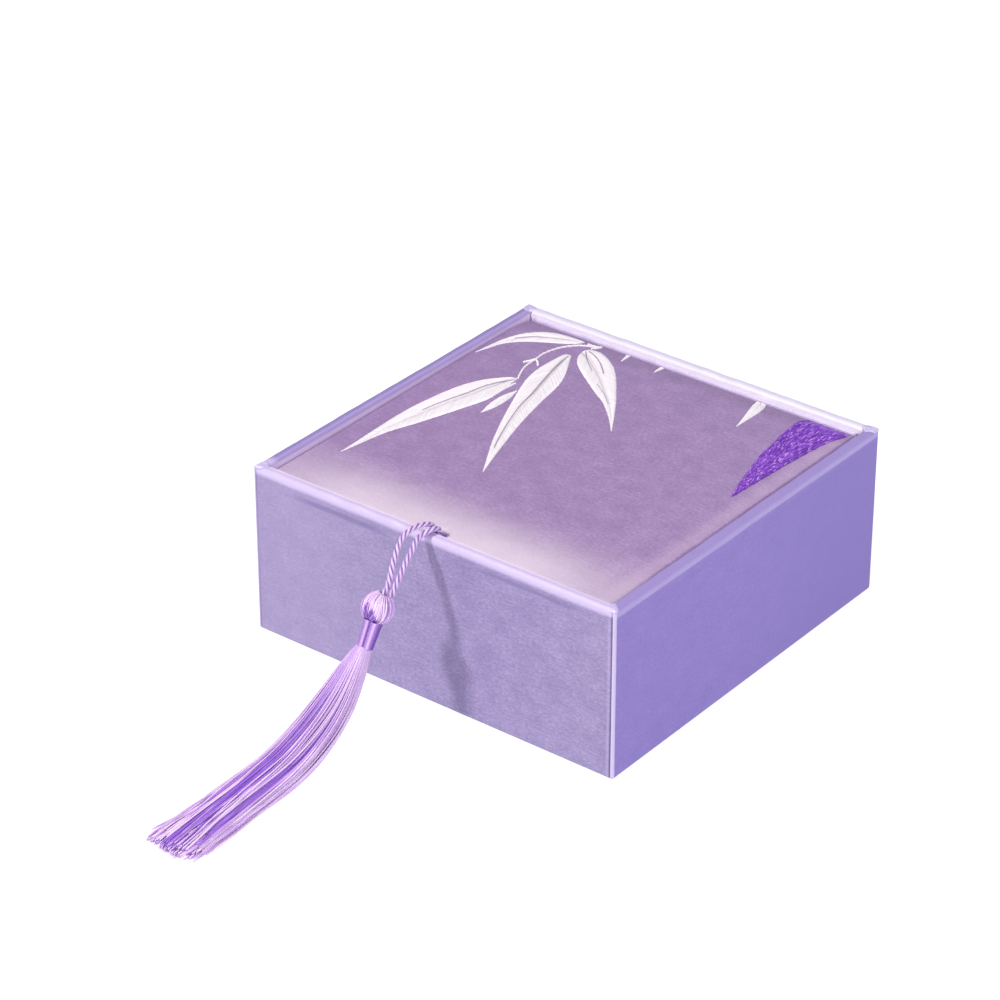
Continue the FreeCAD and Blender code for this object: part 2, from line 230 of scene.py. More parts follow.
class Look:
    """A Principled material with a few node helpers."""

    def __init__(self, name, **constant):
        self.m = bpy.data.materials.new(name)
        self.m.use_nodes = True
        self.t = self.m.node_tree
        self.b = self.t.nodes["Principled BSDF"]
        for k, v in constant.items():
            self.b.inputs[k.replace("_", " ")].default_value = v

    def node(self, kind, **settings):
        n = self.t.nodes.new(kind)
        for k, v in settings.items():
            setattr(n, k, v)
        return n

    def link(self, a, b):
        self.t.links.new(a, b)
        return self

    def uv(self, scale=(1, 1, 1), turn=0.0):
        u = self.node("ShaderNodeUVMap", uv_map="thread")
        m = self.node("ShaderNodeMapping")
        m.inputs["Scale"].default_value = scale
        m.inputs["Rotation"].default_value = (0, 0, turn)
        self.link(u.outputs["UV"], m.inputs["Vector"])
        return m.outputs["Vector"]

    def place(self, scale=(1, 1, 1)):
        """Object coordinates in millimetres."""
        c = self.node("ShaderNodeTexCoord")
        m = self.node("ShaderNodeMapping")
        m.inputs["Scale"].default_value = tuple(1000 * s for s in scale)
        self.link(c.outputs["Object"], m.inputs["Vector"])
        return m.outputs["Vector"]

    def noise(self, vector, scale=1.0, detail=3.0, rough=0.55):
        n = self.node("ShaderNodeTexNoise")
        n.inputs["Scale"].default_value, n.inputs["Detail"].default_value, n.inputs["Roughness"].default_value = scale, detail, rough
        self.link(vector, n.inputs["Vector"])
        return n.outputs["Fac"]

    def bands(self, vector, period, direction="Y", distortion=0.8, detail=1.5):
        n = self.node("ShaderNodeTexWave", wave_type="BANDS", bands_direction=direction, wave_profile="SIN")
        n.inputs["Scale"].default_value = 0.31416 / period
        n.inputs["Distortion"].default_value, n.inputs["Detail"].default_value, n.inputs["Detail Scale"].default_value = distortion, detail, 1.2
        self.link(vector, n.inputs["Vector"])
        return n.outputs["Fac"]

    def ramp(self, value, stops):
        r = self.node("ShaderNodeValToRGB")
        e = r.color_ramp.elements
        e[0].position, e[0].color = stops[0]
        e[1].position, e[1].color = stops[-1]
        for at, colour in stops[1:-1]:
            k = e.new(at)
            k.color = colour
        self.link(value, r.inputs["Fac"])
        return r.outputs["Color"]

    def math(self, kind, a, b):
        n = self.node("ShaderNodeMath", operation=kind)
        for k, v in enumerate((a, b)):
            if isinstance(v, (int, float)):
                n.inputs[k].default_value = v
            else:
                self.link(v, n.inputs[k])
        return n.outputs[0]

    def mix(self, fac, a, b, blend="MIX"):
        n = self.node("ShaderNodeMix", data_type="RGBA", blend_type=blend)
        for k, v in ((0, fac), (6, a), (7, b)):
            if isinstance(v, (int, float, tuple)):
                n.inputs[k].default_value = v
            else:
                self.link(v, n.inputs[k])
        return n.outputs[2]

    def span(self, value, lo, hi):
        n = self.node("ShaderNodeMapRange")
        n.inputs["From Min"].default_value, n.inputs["From Max"].default_value = 0.25, 0.75
        n.inputs["To Min"].default_value, n.inputs["To Max"].default_value = lo, hi
        self.link(value, n.inputs["Value"])
        return n.outputs["Result"]

    def smooth(self, value, a, b, lo, hi):
        n = self.node("ShaderNodeMapRange", interpolation_type="SMOOTHSTEP")
        n.inputs["From Min"].default_value, n.inputs["From Max"].default_value = a, b
        n.inputs["To Min"].default_value, n.inputs["To Max"].default_value = lo, hi
        self.link(value, n.inputs["Value"])
        return n.outputs["Result"]

    def colour(self, c):
        return self.link(c, self.b.inputs["Base Color"])

    def rough(self, r):
        return self.link(r, self.b.inputs["Roughness"])

    def bump(self, height, strength, distance):
        n = self.node("ShaderNodeBump")
        n.inputs["Strength"].default_value, n.inputs["Distance"].default_value = strength, distance * MM
        self.link(height, n.inputs["Height"])
        return self.link(n.outputs["Normal"], self.b.inputs["Normal"])

    def grain_along(self):
        n = self.node("ShaderNodeTangent", direction_type="UV_MAP", uv_map="thread")
        return self.link(n.outputs["Tangent"], self.b.inputs["Tangent"])

    def island(self):
        return self.node("ShaderNodeNewGeometry").outputs["Random Per Island"]


def satin(name, dark, base, light, rough=(0.48, 0.58), fine=0.30, cross=0.55, relief=0.16, sheen=0.1, tint=(1, 0.96, 0.98, 1), aniso=0.8, level=1.0, ior=1.7, grain=0.12, painted_light_and_shade_bands=()):
    """Satin with its long floats along u: fine lines, slubs, specks of lit floats, and a gloss drawn out across the
    floats. Its bands paint light and shade into the colour: paler where rims and edges catch the lamp, darker in
    creases, gaps and cast shadows.
    """
    k = Look(name, Sheen_Weight=sheen, Sheen_Roughness=0.4, Sheen_Tint=tint, Anisotropic=aniso, Anisotropic_Rotation=0.25, Specular_IOR_Level=level, IOR=ior)
    lines = k.bands(k.uv(), fine, "Y", 1.1, 2.0)
    ties = k.bands(k.uv(), cross, "X", 1.6, 2.0)
    slub = k.noise(k.uv((0.22, 2.2, 1)), 1.0, 4.0, 0.6)
    cloud = k.noise(k.uv((0.16, 0.2, 1)), 1.0, 4.0, 0.6)
    speck = k.noise(k.uv((1.1, 1.9, 1)), 1.0, 4.0, 0.7)
    mottle = k.math("ADD", k.math("MULTIPLY", cloud, 0.25), k.math("ADD", k.math("MULTIPLY", slub, 0.2), k.math("MULTIPLY", speck, 0.55)))
    tone = k.ramp(mottle, [(0.5 - grain, dark), (0.5, base), (0.5 + grain, light)])
    weave = k.math("ADD", k.math("MULTIPLY", lines, 0.6), k.math("MULTIPLY", ties, 0.4))
    shown = k.mix(k.math("MULTIPLY", weave, 0.2), tone, dark, "MIX")
    # bands of painted highlight and painted shade laid over the cloth's colour
    if painted_light_and_shade_bands:
        u = k.node("ShaderNodeUVMap", uv_map="thread")
        xyz = k.node("ShaderNodeSeparateXYZ")
        k.link(u.outputs["UV"], xyz.inputs[0])
        for axis, a0, a1, b0, b1, colour, most, *part in painted_light_and_shade_bands:
            rise = k.smooth(xyz.outputs[axis], a0, a1, 0.0, 1.0)
            fall = k.smooth(xyz.outputs[axis], b0, b1, 1.0, 0.0)
            mask = k.math("MULTIPLY", k.math("MULTIPLY", rise, fall), k.span(mottle, most * 0.82, most))
            if part:
                c0, c1, d0, d1 = part[0]
                mask = k.math("MULTIPLY", mask, k.math("MULTIPLY", k.smooth(xyz.outputs[1 - axis], c0, c1, 0.0, 1.0), k.smooth(xyz.outputs[1 - axis], d0, d1, 1.0, 0.0)))
            shown = k.mix(mask, shown, colour)
    k.colour(shown)
    k.rough(k.span(mottle, *rough))
    k.bump(k.math("ADD", k.math("MULTIPLY", weave, 0.6), k.math("ADD", k.math("MULTIPLY", slub, 0.6), k.math("MULTIPLY", speck, 0.5))), relief, 0.06)
    k.grain_along()
    return k.m


def silk(name, stops, rough=0.36, relief=0.35, sheen=0.12, tint=(1, 0.93, 1, 1), level=0.5, ior=1.5, streak=0.3, fade=None, twist=0.0, groove=None, painted_streaks=None, bloom=0.35):
    """Glossy thread: each strand its own shade, with fine filaments along it. fade = (from, to, colour) pales it over
    its length. It can darken the sides of a ply that face its neighbours, as painted shade, and lay streaks round a
    wound thread, as painted highlights and painted shade.
    """
    k = Look(name, Sheen_Weight=sheen, Sheen_Roughness=0.3, Sheen_Tint=tint, Specular_IOR_Level=level, IOR=ior)
    shade = k.ramp(k.island(), stops)
    u = k.node("ShaderNodeUVMap", uv_map="thread")
    xyz = k.node("ShaderNodeSeparateXYZ")
    k.link(u.outputs["UV"], xyz.inputs[0])
    round_, along = xyz.outputs[0], xyz.outputs[1]
    wound = k.math("ADD", k.math("MULTIPLY", round_, 8.0), k.math("MULTIPLY", along, twist))
    spread = k.node("ShaderNodeCombineXYZ")
    k.link(wound, spread.inputs[0])
    k.link(k.math("MULTIPLY", along, 0.3), spread.inputs[1])
    filament = k.noise(spread.outputs[0], 1.0, 3.0, 0.6)
    # streaks round a wound thread, laid by the angle from the side that faces the camera: painted highlights and
    # painted shade
    if painted_streaks:
        shade = k.mix(0.9, shade, k.ramp(k.math("FRACT", along, 0.0), painted_streaks))
    # the sides of each ply that face its neighbours are darker: painted shade in the grooves of the cord
    if groove:
        side = k.math("ABSOLUTE", k.math("SUBTRACT", round_, 0.5), 0.0)
        shade = k.mix(k.smooth(side, 0.25, 0.42, groove[1], 0.0), shade, groove[0])
    drift = k.noise(k.uv((0.7, 0.16, 1)), 1.0, 3.0, 0.55)
    if fade:
        m = k.node("ShaderNodeMapRange", interpolation_type="SMOOTHSTEP")
        m.inputs["From Min"].default_value, m.inputs["From Max"].default_value = fade[0], fade[1]
        m.inputs["To Min"].default_value, m.inputs["To Max"].default_value = fade[3], 0.0
        k.link(k.math("ADD", along, k.math("MULTIPLY", drift, fade[4])), m.inputs["Value"])
        shade = k.mix(m.outputs["Result"], shade, fade[2])
    deep = tuple(c * 0.5 for c in stops[0][1][:3]) + (1.0,)
    c = k.mix(k.math("MULTIPLY", k.span(filament, 0.0, 1.0), streak), shade, deep)
    pale = tuple(min(1.0, 0.25 + 0.8 * x) for x in stops[-1][1][:3]) + (1.0,)
    k.colour(k.mix(k.span(drift, 0.0, bloom), c, pale))
    k.rough(k.span(filament, rough - 0.05, rough + 0.07))
    k.bump(filament, relief, 0.04)
    k.grain_along()
    return k.m


def board_look(name, dark, base):
    k = Look(name, Specular_IOR_Level=0.2)
    fibre = k.noise(k.place((1.2, 1.2, 2.2)), 1.0, 5.0, 0.65)
    fleck = k.noise(k.place((5.0, 5.0, 7.0)), 1.0, 2.0, 0.5)
    k.colour(k.mix(k.math("MULTIPLY", fleck, 0.35), k.ramp(fibre, [(0.35, dark), (0.65, base)]), dark))
    k.rough(k.span(fibre, 0.82, 0.95))
    k.bump(k.math("ADD", fibre, fleck), 0.35, 0.08)
    return k.m


# paler strips where the side cloth laps round the corners: painted highlight on the rounded fold
corner_lap_highlight = [(0, 49.8, 50.1, 70.0, 71.0, srgb(212, 197, 237), 0.85), (0, -71.0, -70.0, -50.1, -49.8, srgb(212, 197, 237), 0.85)]
# right wall: a darker copy of the satin, partly the cloth's tone and partly painted shade on the side away from the
# lamp, darker still towards its back end (painted shade); the pale lines along its rim are painted highlights
lavender = satin("lavender_satin", srgb(105, 82, 174), srgb(119, 94, 187), srgb(135, 110, 200),
                 painted_light_and_shade_bands=[(0, -10.0, 40.0, 49.0, 49.5, srgb(108, 83, 180), 0.7, (-2.0, -1.0, 39.5, 40.5)), (1, 41.2, 41.8, 49.0, 51.0, srgb(162, 143, 209), 0.88), (1, 40.1, 40.7, 41.2, 41.9, srgb(206, 188, 238), 0.42)] + corner_lap_highlight)
# left wall: the rim's rounding and inner face painted paler where they lie in shade, and the front end paler as a
# painted highlight on the rounded corner
lavender_left = satin("lavender_satin_left", srgb(122, 104, 174), srgb(138, 120, 190), srgb(158, 140, 206),
                      painted_light_and_shade_bands=[(1, 40.6, 41.4, 43.0, 43.9, srgb(138, 123, 188), 0.9), (1, 43.3, 44.0, 44.6, 45.4, srgb(176, 156, 220), 0.9), (1, 44.5, 45.3, 47.2, 48.2, srgb(242, 221, 255), 0.97), (1, 47.0, 48.2, 54.0, 55.0, srgb(196, 172, 226), 0.9),
                                  (0, 43.0, 45.8, 70.0, 71.0, srgb(214, 197, 240), 0.8, (40.4, 41.4, 60.0, 61.0)), (0, 49.2, 49.6, 70.0, 71.0, srgb(172, 158, 206), 0.8)])
# front wall: lighter towards its left end (painted light from the lamp's side), pale rim bands (painted highlight),
# dark lines along the creases under the rim and in the groove at the near corner (painted shade), and a pale line
# beside that corner (painted highlight)
lavender_front = satin("lavender_satin_front", srgb(104, 89, 154), srgb(127, 110, 169), srgb(152, 133, 189), grain=0.1,
                       painted_light_and_shade_bands=[(0, -60.0, -59.0, -40.0, 0.0, srgb(160, 140, 194), 0.38), (1, 40.0, 41.4, 50.0, 52.0, srgb(205, 188, 236), 0.92), (1, 43.2, 43.9, 52.0, 54.0, srgb(243, 226, 251), 0.95), (1, 37.6, 38.3, 38.7, 39.6, srgb(86, 70, 146), 0.75, (-42.0, -32.0, -17.0, -9.0)),
                                   (1, 38.2, 38.8, 39.1, 39.8, srgb(86, 70, 146), 0.65, (10.0, 19.0, 34.0, 48.0)), (1, 40.0, 41.2, 50.0, 52.0, srgb(188, 170, 226), 0.5, (18.0, 44.0, 70.0, 71.0)),
                                   (0, 47.9, 48.4, 48.6, 48.95, srgb(174, 158, 209), 0.38, (-2.0, -1.0, 39.4, 40.4)), (0, 48.8, 49.1, 60.0, 61.0, srgb(78, 62, 134), 0.85, (-2.0, -1.0, 40.2, 40.9))])
# back wall: the rim's top and inner face painted near-white as a highlight
lavender_back = satin("lavender_satin_back", srgb(122, 104, 174), srgb(138, 120, 190), srgb(158, 140, 206), painted_light_and_shade_bands=[(1, 39.8, 40.8, 41.9, 42.7, srgb(240, 233, 250), 0.95), (1, 41.8, 42.6, 43.8, 44.8, srgb(218, 211, 238), 0.95), (1, 43.7, 44.7, 52.0, 54.0, srgb(244, 238, 251), 0.97)])
# corner pleats painted paler than the walls: painted sheen of their slanting weave
lavender_fold_sheen = satin("lavender_satin_fold_sheen", srgb(182, 166, 222), srgb(198, 183, 232), srgb(214, 201, 241))
# hinge strip painted pale to match the lit back rim: painted highlight
hinge_satin_highlight = satin("hinge_satin_highlight", srgb(194, 178, 220), srgb(207, 191, 231), srgb(220, 206, 240))
# lid: paler towards its front edge (painted highlight), a pale strip then a dark line at its right edge (painted
# highlight, and painted shadow in the gap), a violet spot round the cord's exit (painted shadow of the cords), and
# darker along the back (painted shadow of the back rim)
mauve = satin("mauve_satin", srgb(129, 100, 154), srgb(148, 118, 173), srgb(170, 141, 194), fine=0.26, cross=0.4, ior=1.5,
              painted_light_and_shade_bands=[(1, -60, -59, -46.5, -24.0, srgb(226, 210, 226), 0.38), (1, -60, -59, -47.0, -30.0, srgb(240, 226, 240), 0.45, (-46.0, -22.0, 20.0, 46.0)),
                          (0, 41.0, 44.5, 45.6, 46.2, srgb(206, 178, 208), 0.3), (0, 46.2, 46.8, 60.0, 61.0, srgb(84, 60, 116), 0.6),
                          (0, -2.8, -1.5, 1.1, 2.4, srgb(128, 90, 204), 0.85, (-60.0, -59.0, -45.4, -44.5)), (1, 39.0, 46.0, 60.0, 61.0, srgb(98, 72, 124), 0.45)])
lining = satin("lining_satin", srgb(186, 168, 216), srgb(204, 188, 230), srgb(220, 207, 240), fine=0.34)
white_silk = silk("white_thread", [(0.0, srgb(231, 223, 236)), (0.5, srgb(239, 232, 243)), (1.0, srgb(246, 240, 249))], rough=0.5, streak=0.06, bloom=0.1)
violet_silk = silk("violet_thread", [(0.0, srgb(84, 18, 156)), (0.35, srgb(116, 42, 190)), (0.65, srgb(138, 64, 208)), (0.87, srgb(174, 110, 230)), (1.0, srgb(214, 166, 243))], rough=0.45, level=0.35, streak=0.25, bloom=0.12)
grey_silk = silk("vein_thread", [(0.0, srgb(150, 132, 162)), (1.0, srgb(176, 160, 186))], rough=0.5)
cord_silk = silk("lilac_cord", [(0.0, srgb(208, 172, 230)), (0.5, srgb(218, 188, 236)), (1.0, srgb(230, 204, 242))], streak=0.2, twist=1.2, groove=(srgb(120, 70, 180), 0.88), bloom=0.2)
bead_silk = silk("bead_thread", [(0.0, srgb(150, 96, 204)), (0.25, srgb(192, 142, 228)), (0.6, srgb(220, 180, 240)), (1.0, srgb(243, 220, 249))], rough=0.34, level=0.7, streak=0.3)
# the neck's light and dark streaks along its length are painted highlights and painted shade
neck_silk = silk("neck_thread", [(0.0, srgb(116, 62, 182)), (1.0, srgb(134, 80, 202))], rough=0.28, relief=0.2, level=0.7, streak=0.2, bloom=0.1,
                 painted_streaks=[(0.0, srgb(176, 130, 216)), (0.035, srgb(86, 36, 146)), (0.055, srgb(108, 56, 166)), (0.095, srgb(224, 188, 243)), (0.16, srgb(164, 114, 210)), (0.25, srgb(100, 54, 160)),
                         (0.75, srgb(82, 38, 142)), (0.86, srgb(122, 70, 182)), (0.925, srgb(188, 142, 225)), (0.962, srgb(238, 210, 248)), (1.0, srgb(176, 130, 216))])
# fringe threads: the pale set is partly the silk's colour and partly a painted highlight of the lamp on the upper and
# outer fringe; the deep set is the darker dye in the middle
tassel_silk = silk("tassel_silk", [(0.0, srgb(178, 126, 224)), (0.3, srgb(210, 166, 240)), (0.65, srgb(230, 198, 246)), (1.0, srgb(244, 222, 250))], streak=0.25, fade=(8.0, 40.0, srgb(196, 160, 222), 0.85, 14.0))
deep_silk = silk("tassel_silk_deep", [(0.0, srgb(112, 52, 190)), (0.5, srgb(146, 88, 216)), (1.0, srgb(182, 128, 234))], streak=0.25, fade=(13.0, 44.0, srgb(200, 162, 230), 0.86, 16.0), bloom=0.2)
inner_silk = silk("tassel_silk_inner", [(0.0, srgb(136, 82, 206)), (0.5, srgb(160, 106, 222)), (1.0, srgb(188, 138, 236))], streak=0.35, fade=(8.0, 40.0, srgb(206, 170, 232), 0.9, 14.0), bloom=0.25)
# dark layer of the bead, shown low in front where the bead is in shade: painted shade
bead_shade_silk = silk("bead_shade_layer", [(0.0, srgb(96, 42, 164)), (0.6, srgb(126, 70, 192)), (1.0, srgb(190, 142, 230))], rough=0.34, level=0.6, streak=0.3, bloom=0.15)
greyboard = board_look("greyboard", srgb(150, 142, 130), srgb(182, 174, 160))
paper = board_look("base_paper", srgb(196, 184, 214), srgb(214, 203, 229))
padding = board_look("padding", srgb(222, 218, 208), srgb(240, 237, 230))
wood = board_look("bead_wood", srgb(66, 30, 112), srgb(88, 46, 136))


# ---- tassel cords -----------------------------------------------------------
cord_left = [(-1.15, -46.2, 38.0), (-1.15, -46.2, 40.6), (-1.15, -46.55, 42.5), (-1.1, -47.7, 44.0), (-1.4, -50.2, 44.95), (-2.1, -53.2, 45.05), (-2.3, -56.1, 44.15),
             (-1.5, -58.8, 42.5), (-0.9, -60.9, 40.6), (-0.3, -62.6, 38.2), (-0.21, -63.66, 35.69), (-0.91, -65.22, 33.74), (-1.61, -66.78, 31.78)]
cord_right = [(0.35, -46.2, 38.0), (0.35, -46.2, 40.6), (0.4, -46.55, 42.35), (0.4, -47.6, 43.55), (-0.1, -49.8, 43.65), (-0.65, -51.6, 43.25), (-0.5, -53.4, 42.9), (0.1, -55.2, 42.2),
              (0.5, -57.0, 41.1), (0.75, -59.0, 39.8), (1.25, -61.1, 38.4), (1.35, -62.6, 36.9), (1.04, -63.54, 34.88), (0.39, -64.98, 33.08), (-0.31, -66.54, 31.12)]


def spline_points(name, route):
    curve = bpy.data.curves.new(name, "CURVE")
    curve.dimensions = "3D"
    curve.resolution_u = 30
    s = curve.splines.new("NURBS")
    s.points.add(len(route) - 1)
    for p, q in zip(s.points, route):
        p.co = (q[0] * MM, q[1] * MM, q[2] * MM, 1)
    s.order_u = 3
    s.use_endpoint_u = True
    ob = bpy.data.objects.new(name, curve)
    mesh = bpy.data.meshes.new_from_object(ob)
    line = np.array([v.co for v in mesh.vertices], float) / MM
    bpy.data.meshes.remove(mesh)
    bpy.data.objects.remove(ob)
    bpy.data.curves.remove(curve)
    return line


def twisted(line, plies=3, lay=5.2, off=0.34, r=0.31, start=0.0):
    """Plies winding round a line, the way a corded silk is laid."""
    t = unit(np.gradient(line, axis=0))
    normal = np.empty_like(line)
    normal[0] = unit(np.cross(t[0], np.array([1.0, 0.2, 0.0])))
    for i in range(1, len(line)):
        v = normal[i - 1]
        normal[i] = unit(v - (v @ t[i]) * t[i])
    other = np.cross(t, normal)
    s = np.concatenate([[0], np.cumsum(np.linalg.norm(np.diff(line, axis=0), axis=1))])
    paths, out = [], []
    for k in range(plies):
        a = start + 2 * math.pi * (k / plies - s / lay)
        out.append(np.cos(a)[:, None] * normal + np.sin(a)[:, None] * other)
        paths.append(line + off * out[-1])
    return tubes(np.array(paths), r, sides=12, out=np.array(out))


cords = []
for name, route, begin in (("cord_left", cord_left, 0.3), ("cord_right", cord_right, 1.4)):
    line = spline_points(name, route)
    ob = piece("tassel_" + name + "_plies", twisted(line, start=begin), cord_silk, nodes=("tassel_" + name,))
    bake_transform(ob)
    cords.append((ob, line))


# ---- walls: satin over board, turned in over the rim --------------------------
OUT_R, IN_R, TOP, WALL = 0.9, 0.9, 42.4, 2.5


def skin_profile():
    at = [(0.76, 0.24), (0.75, 0.12), (0.62, 0.05), (0.38, 0.06), (0.17, 0.16), (0.05, 0.42), (0.0, 0.8)]
    at += [(0.0, z) for z in (2, 4, 7, 10, 13, 16, 19, 22, 25, 28, 30.5, 32.5, 34.2, 35.5, 36.6, 37.4, 38.0, 38.5, 38.9, 39.3, 39.7, 40.1, 40.5)]
    at += [(OUT_R * (1 - math.cos(a)), TOP - OUT_R + OUT_R * math.sin(a)) for a in np.linspace(0, math.pi / 2, 12)]
    at += [(WALL - IN_R + IN_R * math.sin(a), TOP - IN_R + IN_R * math.cos(a)) for a in np.linspace(0, math.pi / 2, 9)]
    at += [(WALL, z) for z in (41.0, 40.4, 39.5, 38, 36, 33, 30)]
    return np.array(at).T


def rim_height(q):
    """Height of the rim's top, q inward from the outside."""
    q = np.clip(q, 0, WALL)
    outer = TOP - OUT_R + np.sqrt(np.maximum(OUT_R ** 2 - (OUT_R - np.minimum(q, OUT_R)) ** 2, 0))
    k = np.maximum(q - (WALL - IN_R), 0)
    inner = TOP - IN_R + np.sqrt(np.maximum(IN_R ** 2 - k ** 2, 0))
    return np.where(q < OUT_R, outer, np.where(q > WALL - IN_R, inner, TOP))


def lively(q, z, along, seed, creases):
    """Small unevenness of glued cloth: q and z of the wall's surface, moved."""
    face = step(z, 1.5, 6) * (1 - step(z, 40.4, 41.6)) * (q < 1)
    slow, quick, rim = ripple(seed, 26.0), ripple(seed + 1, 7.0), ripple(seed + 2, 11.0)
    dq = face * (0.045 * slow(along, z) + 0.014 * quick(along, z))
    puff = np.exp(-((z - 40.6) / 0.8) ** 2) * (q < 1)
    dent = np.exp(-((z - 38.9) / 0.45) ** 2) * (q < 1)
    where = sum(h * np.exp(-(np.abs((along - c) / w)) ** 2.4) for c, w, h in creases)
    dq = dq - 0.05 * puff * (0.5 + where) + 0.17 * dent * where
    up = step(z, 41.3, 42.2) * (q < 2.45)
    dz = up * (0.05 * rim(along, 0.0) + 0.02 * quick(along * 1.7, 5.0))
    return q + dq, z + dz


q0, z0 = skin_profile()
v0 = arc_length(q0, z0)
v0 = v0 - v0[7] + z0[7]     # v is the height on the outer face


def face_skin(seed, creases, ends):
    """Front or back: ends in a groove beside each corner, ends = how deep."""
    inner = np.linspace(-0.974, 0.974, 90)
    edge = np.array([0.979, 0.984, 0.988, 0.992, 0.996, 1.0])
    s = np.concatenate([-edge[::-1], inner, edge])
    end = np.minimum(49.45, 50 - q0)
    along = end[:, None] * s[None]
    q, z = lively(np.broadcast_to(q0[:, None], along.shape), np.broadcast_to(z0[:, None], along.shape), along, seed, creases)
    low = (q0 < 0.5)[:, None]
    q = q + low * np.where(along < 0, ends[0], ends[1]) * step(np.abs(along), 48.85, 49.45) ** 2
    pts = np.stack([along, -50 + q, z], -1)
    return pts, np.stack([along, np.broadcast_to(v0[:, None], along.shape)], -1)


def side_skin(seed, creases, ends):
    """Left or right: runs on round both corners and ends in a rolled edge there, ends = how proud."""
    rc = 0.5
    main = np.concatenate([np.linspace(-1, -0.96, 5), np.linspace(-0.94, 0.94, 84), np.linspace(0.96, 1, 5)])
    rows, uvs = [], []
    for q, z, v in zip(q0, z0, v0):
        end = 50 - max(rc, q)
        a = end * main
        qq, zz = lively(np.full_like(a, q), np.full_like(a, z), a, seed, creases)
        line = np.stack([a, -50 + qq, zz], -1)
        laps = []
        for proud in ends:
            lap = []
            for f in np.linspace(0.16, 1, 6):
                phi, r = f * math.pi / 2, max(rc - q, 0.0) + proud * f * (q < rc)
                c = 50 - max(rc, q)
                lap.append((c + r * math.sin(phi), -c - r * math.cos(phi), z))
            for x, y in ((50.0 + proud, -49.49), (49.97 + proud, -49.45), (49.86 + proud, -49.41), (49.68 + proud, -49.40), (49.5, -49.40)):
                lap.append((max(x - q, min(50 - q, x)) if q < 0.6 else 50 - q, max(y, -50 + q), z))
            laps.append(np.array(lap))
        mirror = laps[0][::-1] * np.array([-1, 1, 1])
        row = np.concatenate([mirror, line, laps[1]])
        rows.append(row)
        u = np.concatenate([[0], np.cumsum(np.linalg.norm(np.diff(row[:, :2], axis=0), axis=1))])
        uvs.append(np.stack([u - u[len(u) // 2], np.full(len(row), v)], -1))
    return np.array(rows), np.array(uvs)


for name, quarter, maker, seed, creases, ends, look in (
        ("front", 0, face_skin, 11, [(-25, 11, 1.0), (27, 12, 0.9), (-8, 5, 0.3)], (0.12, 0.55), lavender_front),
        ("right", 1, side_skin, 21, [(-20, 14, 0.35), (25, 12, 0.4)], (0.14, 0.10), lavender),
        ("back", 2, face_skin, 31, [(-25, 10, 0.7), (18, 12, 0.8)], (0.5, 0.5), lavender_back),
        ("left", 3, side_skin, 41, [(-15, 14, 0.4), (28, 10, 0.4)], (0.10, 0.02), lavender_left)):
    pts, uv = maker(seed, creases, ends)
    v, f, u = grid(turned(pts, quarter), uv)
    f = [face[::-1] for face in f]
    u = u.reshape(-1, 4, 2)[:, ::-1].reshape(-1, 2)
    piece(name + "_wall_satin", (v, f, u), look, "box", (name + "_wall_cloth",), merge=True, thick=0.2)


def tuck(quarter, seed, wide, full):
    """The folded corner of the rim: a small pleat laid along the mitre."""
    m = np.concatenate([np.linspace(0.16, 1.1, 9), np.linspace(1.25, 2.62, 10)])
    c = np.linspace(-1, 1, 15)
    half = np.minimum(wide + 0.1 * np.sin(m * 2 + seed), (m - 0.1) * 1.5)
    cc = half[:, None] * c[None]
    x, y = 50 - m[:, None] + cc * 0.7071, -50 + m[:, None] + cc * 0.7071
    qx, qy = 50 - x, 50 + y
    blend = 0.35
    q = np.minimum(qx, qy) - blend * 0.25 * np.clip(1 - np.abs(qx - qy) / blend, 0, 1) ** 2
    z = rim_height(np.minimum(q, 2.42))
    lift = (0.05 + full) * (1 - np.abs(c[None]) ** 6) * np.ones_like(cc) - 0.05
    lift = lift + 0.5 * full * np.sin(cc * 5.2 + seed) * (1 - c[None] ** 2) * step(m, 0.4, 1.2)[:, None]
    lift = lift - 0.35 * step(m, 2.35, 2.62)[:, None]
    out = (0.02 + 0.6 * full) * (1 - step(q, 0.1, 0.9))
    pts = np.stack([x + out, y - out, z + lift], -1)
    v, f, u = grid(turned(pts, quarter), np.stack([np.broadcast_to(m[:, None] * 1.41, cc.shape), cc], -1))
    return piece(f"rim_tuck_{quarter + 1}", (v, f, u), lavender_fold_sheen, "box", (), thick=0.12)


for k, (wide, full) in enumerate(((0.6, 0.03), (1.5, 0.10), (1.4, 0.10), (1.3, 0.05))):
    tuck(k, 1.3 * k, wide, full)

# ---- lid --------------------------------------------------------------------
LX0, LX1, LY0, LY1 = -47.08, 47.08, -46.9, 46.7
LID_R, LID_DROP, LID_EDGE = 1.3, 1.2, 41.0


def crown(x, y):
    def rise(d, l):
        return 1 - np.exp(-np.maximum(d, 0) / l)
    fx = rise(x - LX0 - LID_R, 7.0) * rise(LX1 - LID_R - x, 7.0)
    fy = rise(y - LY0 - LID_R, 9.0) * rise(LY1 - LID_R - y, 8.0)
    return 0.75 * fx * fy


lid_soft, lid_fine = ripple(51, 30.0), ripple(52, 9.0)


